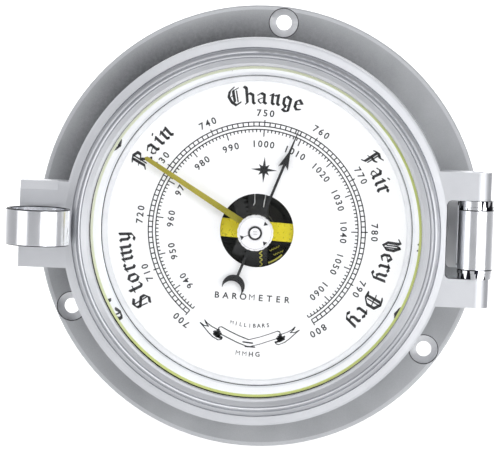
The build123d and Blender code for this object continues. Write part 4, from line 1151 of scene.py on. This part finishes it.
def coil_line(ends, depth, radius, pitch):
    """Points of a helix between two places (right, up) at one depth, in millimetres, given in metres."""
    a, b = (Vector((x, -depth, z)) for x, z in ends)
    along = (b - a).normalized()
    side = along.cross(Vector((0, 1, 0))).normalized()
    front = along.cross(side)
    turns = (b - a).length / pitch
    count = round(turns * COIL_STEPS)
    line = []
    for index in range(count + 1):
        turn = 2 * pi * turns * index / count
        on_coil = a + (b - a) * index / count + (side * cos(turn) + front * sin(turn)) * radius
        line.append(on_coil * MM)
    return line


TENSION_SPRING = [(1.3, -7.4), (1.7, -13.0)]
TENSION_SPRING_DEPTH = 17.1
TENSION_COIL_R = 0.42
TENSION_COIL_PITCH = 1.5
FINE_SPRINGS = {
    "fine_spring_upper": [(4.3, -7.4), (7.7, -5.6)],
    "fine_spring_lower": [(5.7, -8.8), (9.0, -7.2)],
}
FINE_SPRING_DEPTH = 14.5
FINE_COIL_R = 0.24
FINE_COIL_PITCH = 0.9
FINE_WIRE_R = 0.13
# Two wires whose white colour is a painted glint
GLINT_WIRES = {
    "glint_wire_left": [(-1.4, 13.2), (-1.34, 10.7), (-1.28, 9.1), (-1.75, 8.1)],
    "glint_wire_right": [(2.4, 13.2), (2.26, 10.8), (2.0, 9.6), (1.77, 7.6)],
}
GLINT_WIRE_DEPTH = 16.7
WIRE_R = 0.2


def window_wires():
    """The tension spring below the knob, two fine springs on its right and two wires above it, whose white
    is a painted glint.
    """
    tension = coil_line(TENSION_SPRING, TENSION_SPRING_DEPTH, TENSION_COIL_R, TENSION_COIL_PITCH)
    tube("tension_spring", tension, WIRE_R, SPRING)
    for name, ends in FINE_SPRINGS.items():
        fine = coil_line(ends, FINE_SPRING_DEPTH, FINE_COIL_R, FINE_COIL_PITCH)
        tube(name, fine, FINE_WIRE_R, SPRING)
    for name, places in GLINT_WIRES.items():
        bent = [Vector((x, -GLINT_WIRE_DEPTH, z)) * MM for x, z in places]
        tube(name, bent, WIRE_R, GLINT_WHITE_WIRE)


STRIP_R = 12.0
STRIP_WIDTH = 0.55
STRIP_ANGLES = (134, 160)
STRIP_BACK = 17.0
STRIP_FRONT = 17.8


def edge_strip():
    """A short brass strip at the lower right edge of the window."""
    strip = Print(back=-STRIP_BACK * MM, front=-STRIP_FRONT * MM)
    strip.arc(STRIP_R, STRIP_WIDTH, *STRIP_ANGLES)
    strip.make("edge_strip", material=SPRING, slot="brass")


window_wires()
edge_strip()
print_scales()
print_numbers()
print_weather()
print_words()
print_ribbon()
print_star()


# ---------------------------------------------------------------------------------------
# Studio: pale floor, soft lights
# ---------------------------------------------------------------------------------------
FLOOR_HALF = 20.0
FLOOR_Z = -0.35
PAPER_COLOUR = (0.97, 0.97, 0.97)
PAPER_ROUGH = (0.88, 0.94)
PAPER_SCALE = 3
PAPER_DETAIL = 2.0
WORLD_COLOUR = (0.955, 0.965, 1.0)
WORLD_STRENGTH = 0.38


def stage_floor():
    """One wide pale floor that fills the view behind the object."""
    mesh = bpy.data.meshes.new("studio_floor")
    corners = [(-1, -1), (1, -1), (1, 1), (-1, 1)]
    mesh.from_pydata([(x * FLOOR_HALF, y * FLOOR_HALF, FLOOR_Z) for x, y in corners], [], [(0, 1, 2, 3)])
    floor = bpy.data.objects.new("studio_floor", mesh)
    bpy.context.scene.collection.objects.link(floor)
    paper, shader = new_material("studio_paper", PAPER_COLOUR)
    fibres = noise(paper, PAPER_SCALE, PAPER_DETAIL)
    spread(paper, fibres, PAPER_ROUGH[0], PAPER_ROUGH[1], shader.inputs["Roughness"])
    mesh.materials.append(paper)


def stage_world():
    """Even, slightly blue light from all sides."""
    world = bpy.data.worlds.new("studio_world")
    bpy.context.scene.world = world
    world.use_nodes = True
    background = world.node_tree.nodes["Background"]
    background.inputs["Color"].default_value = (*WORLD_COLOUR, 1)
    background.inputs["Strength"].default_value = WORLD_STRENGTH


def area_light(name, place, target, size, power):
    """A soft rectangular light, aimed at a point; places and sizes are in metres, power in watts."""
    data = bpy.data.lights.new(name, "AREA")
    data.shape = "RECTANGLE"
    data.size, data.size_y = size
    data.energy = power
    light = bpy.data.objects.new(name, data)
    bpy.context.scene.collection.objects.link(light)
    light.location = place
    light.rotation_euler = (Vector(target) - Vector(place)).to_track_quat("-Z", "Y").to_euler()


ORIGIN = (0, 0, 0)

stage_floor()
stage_world()
area_light("panel_right", place=(1.45, -1.35, -0.1), target=ORIGIN, size=(1.7, 1.6), power=17.5)
area_light("left_soft", place=(-1.4, -1.0, 0.2), target=ORIGIN, size=(1.2, 1.6), power=6.8)
area_light("front_right", place=(0.9, -1.9, -0.25), target=ORIGIN, size=(0.9, 1.0), power=6.2)
area_light("front_top", place=(0.1, -1.9, 0.95), target=ORIGIN, size=(1.0, 0.6), power=4.4)
area_light("front_high", place=(0.2, -2.2, 1.6), target=ORIGIN, size=(2.0, 1.0), power=14.5)
area_light("low_soft", place=(0.0, -0.8, -0.33), target=(0, -0.1, 0), size=(1.6, 0.1), power=0.8)
# Lights the floor far behind the object, which the camera sees as the pale background
area_light("paper_wash", place=(0, 8.0, 2.6), target=(0, 8.0, 0), size=(5.0, 10.0), power=420)
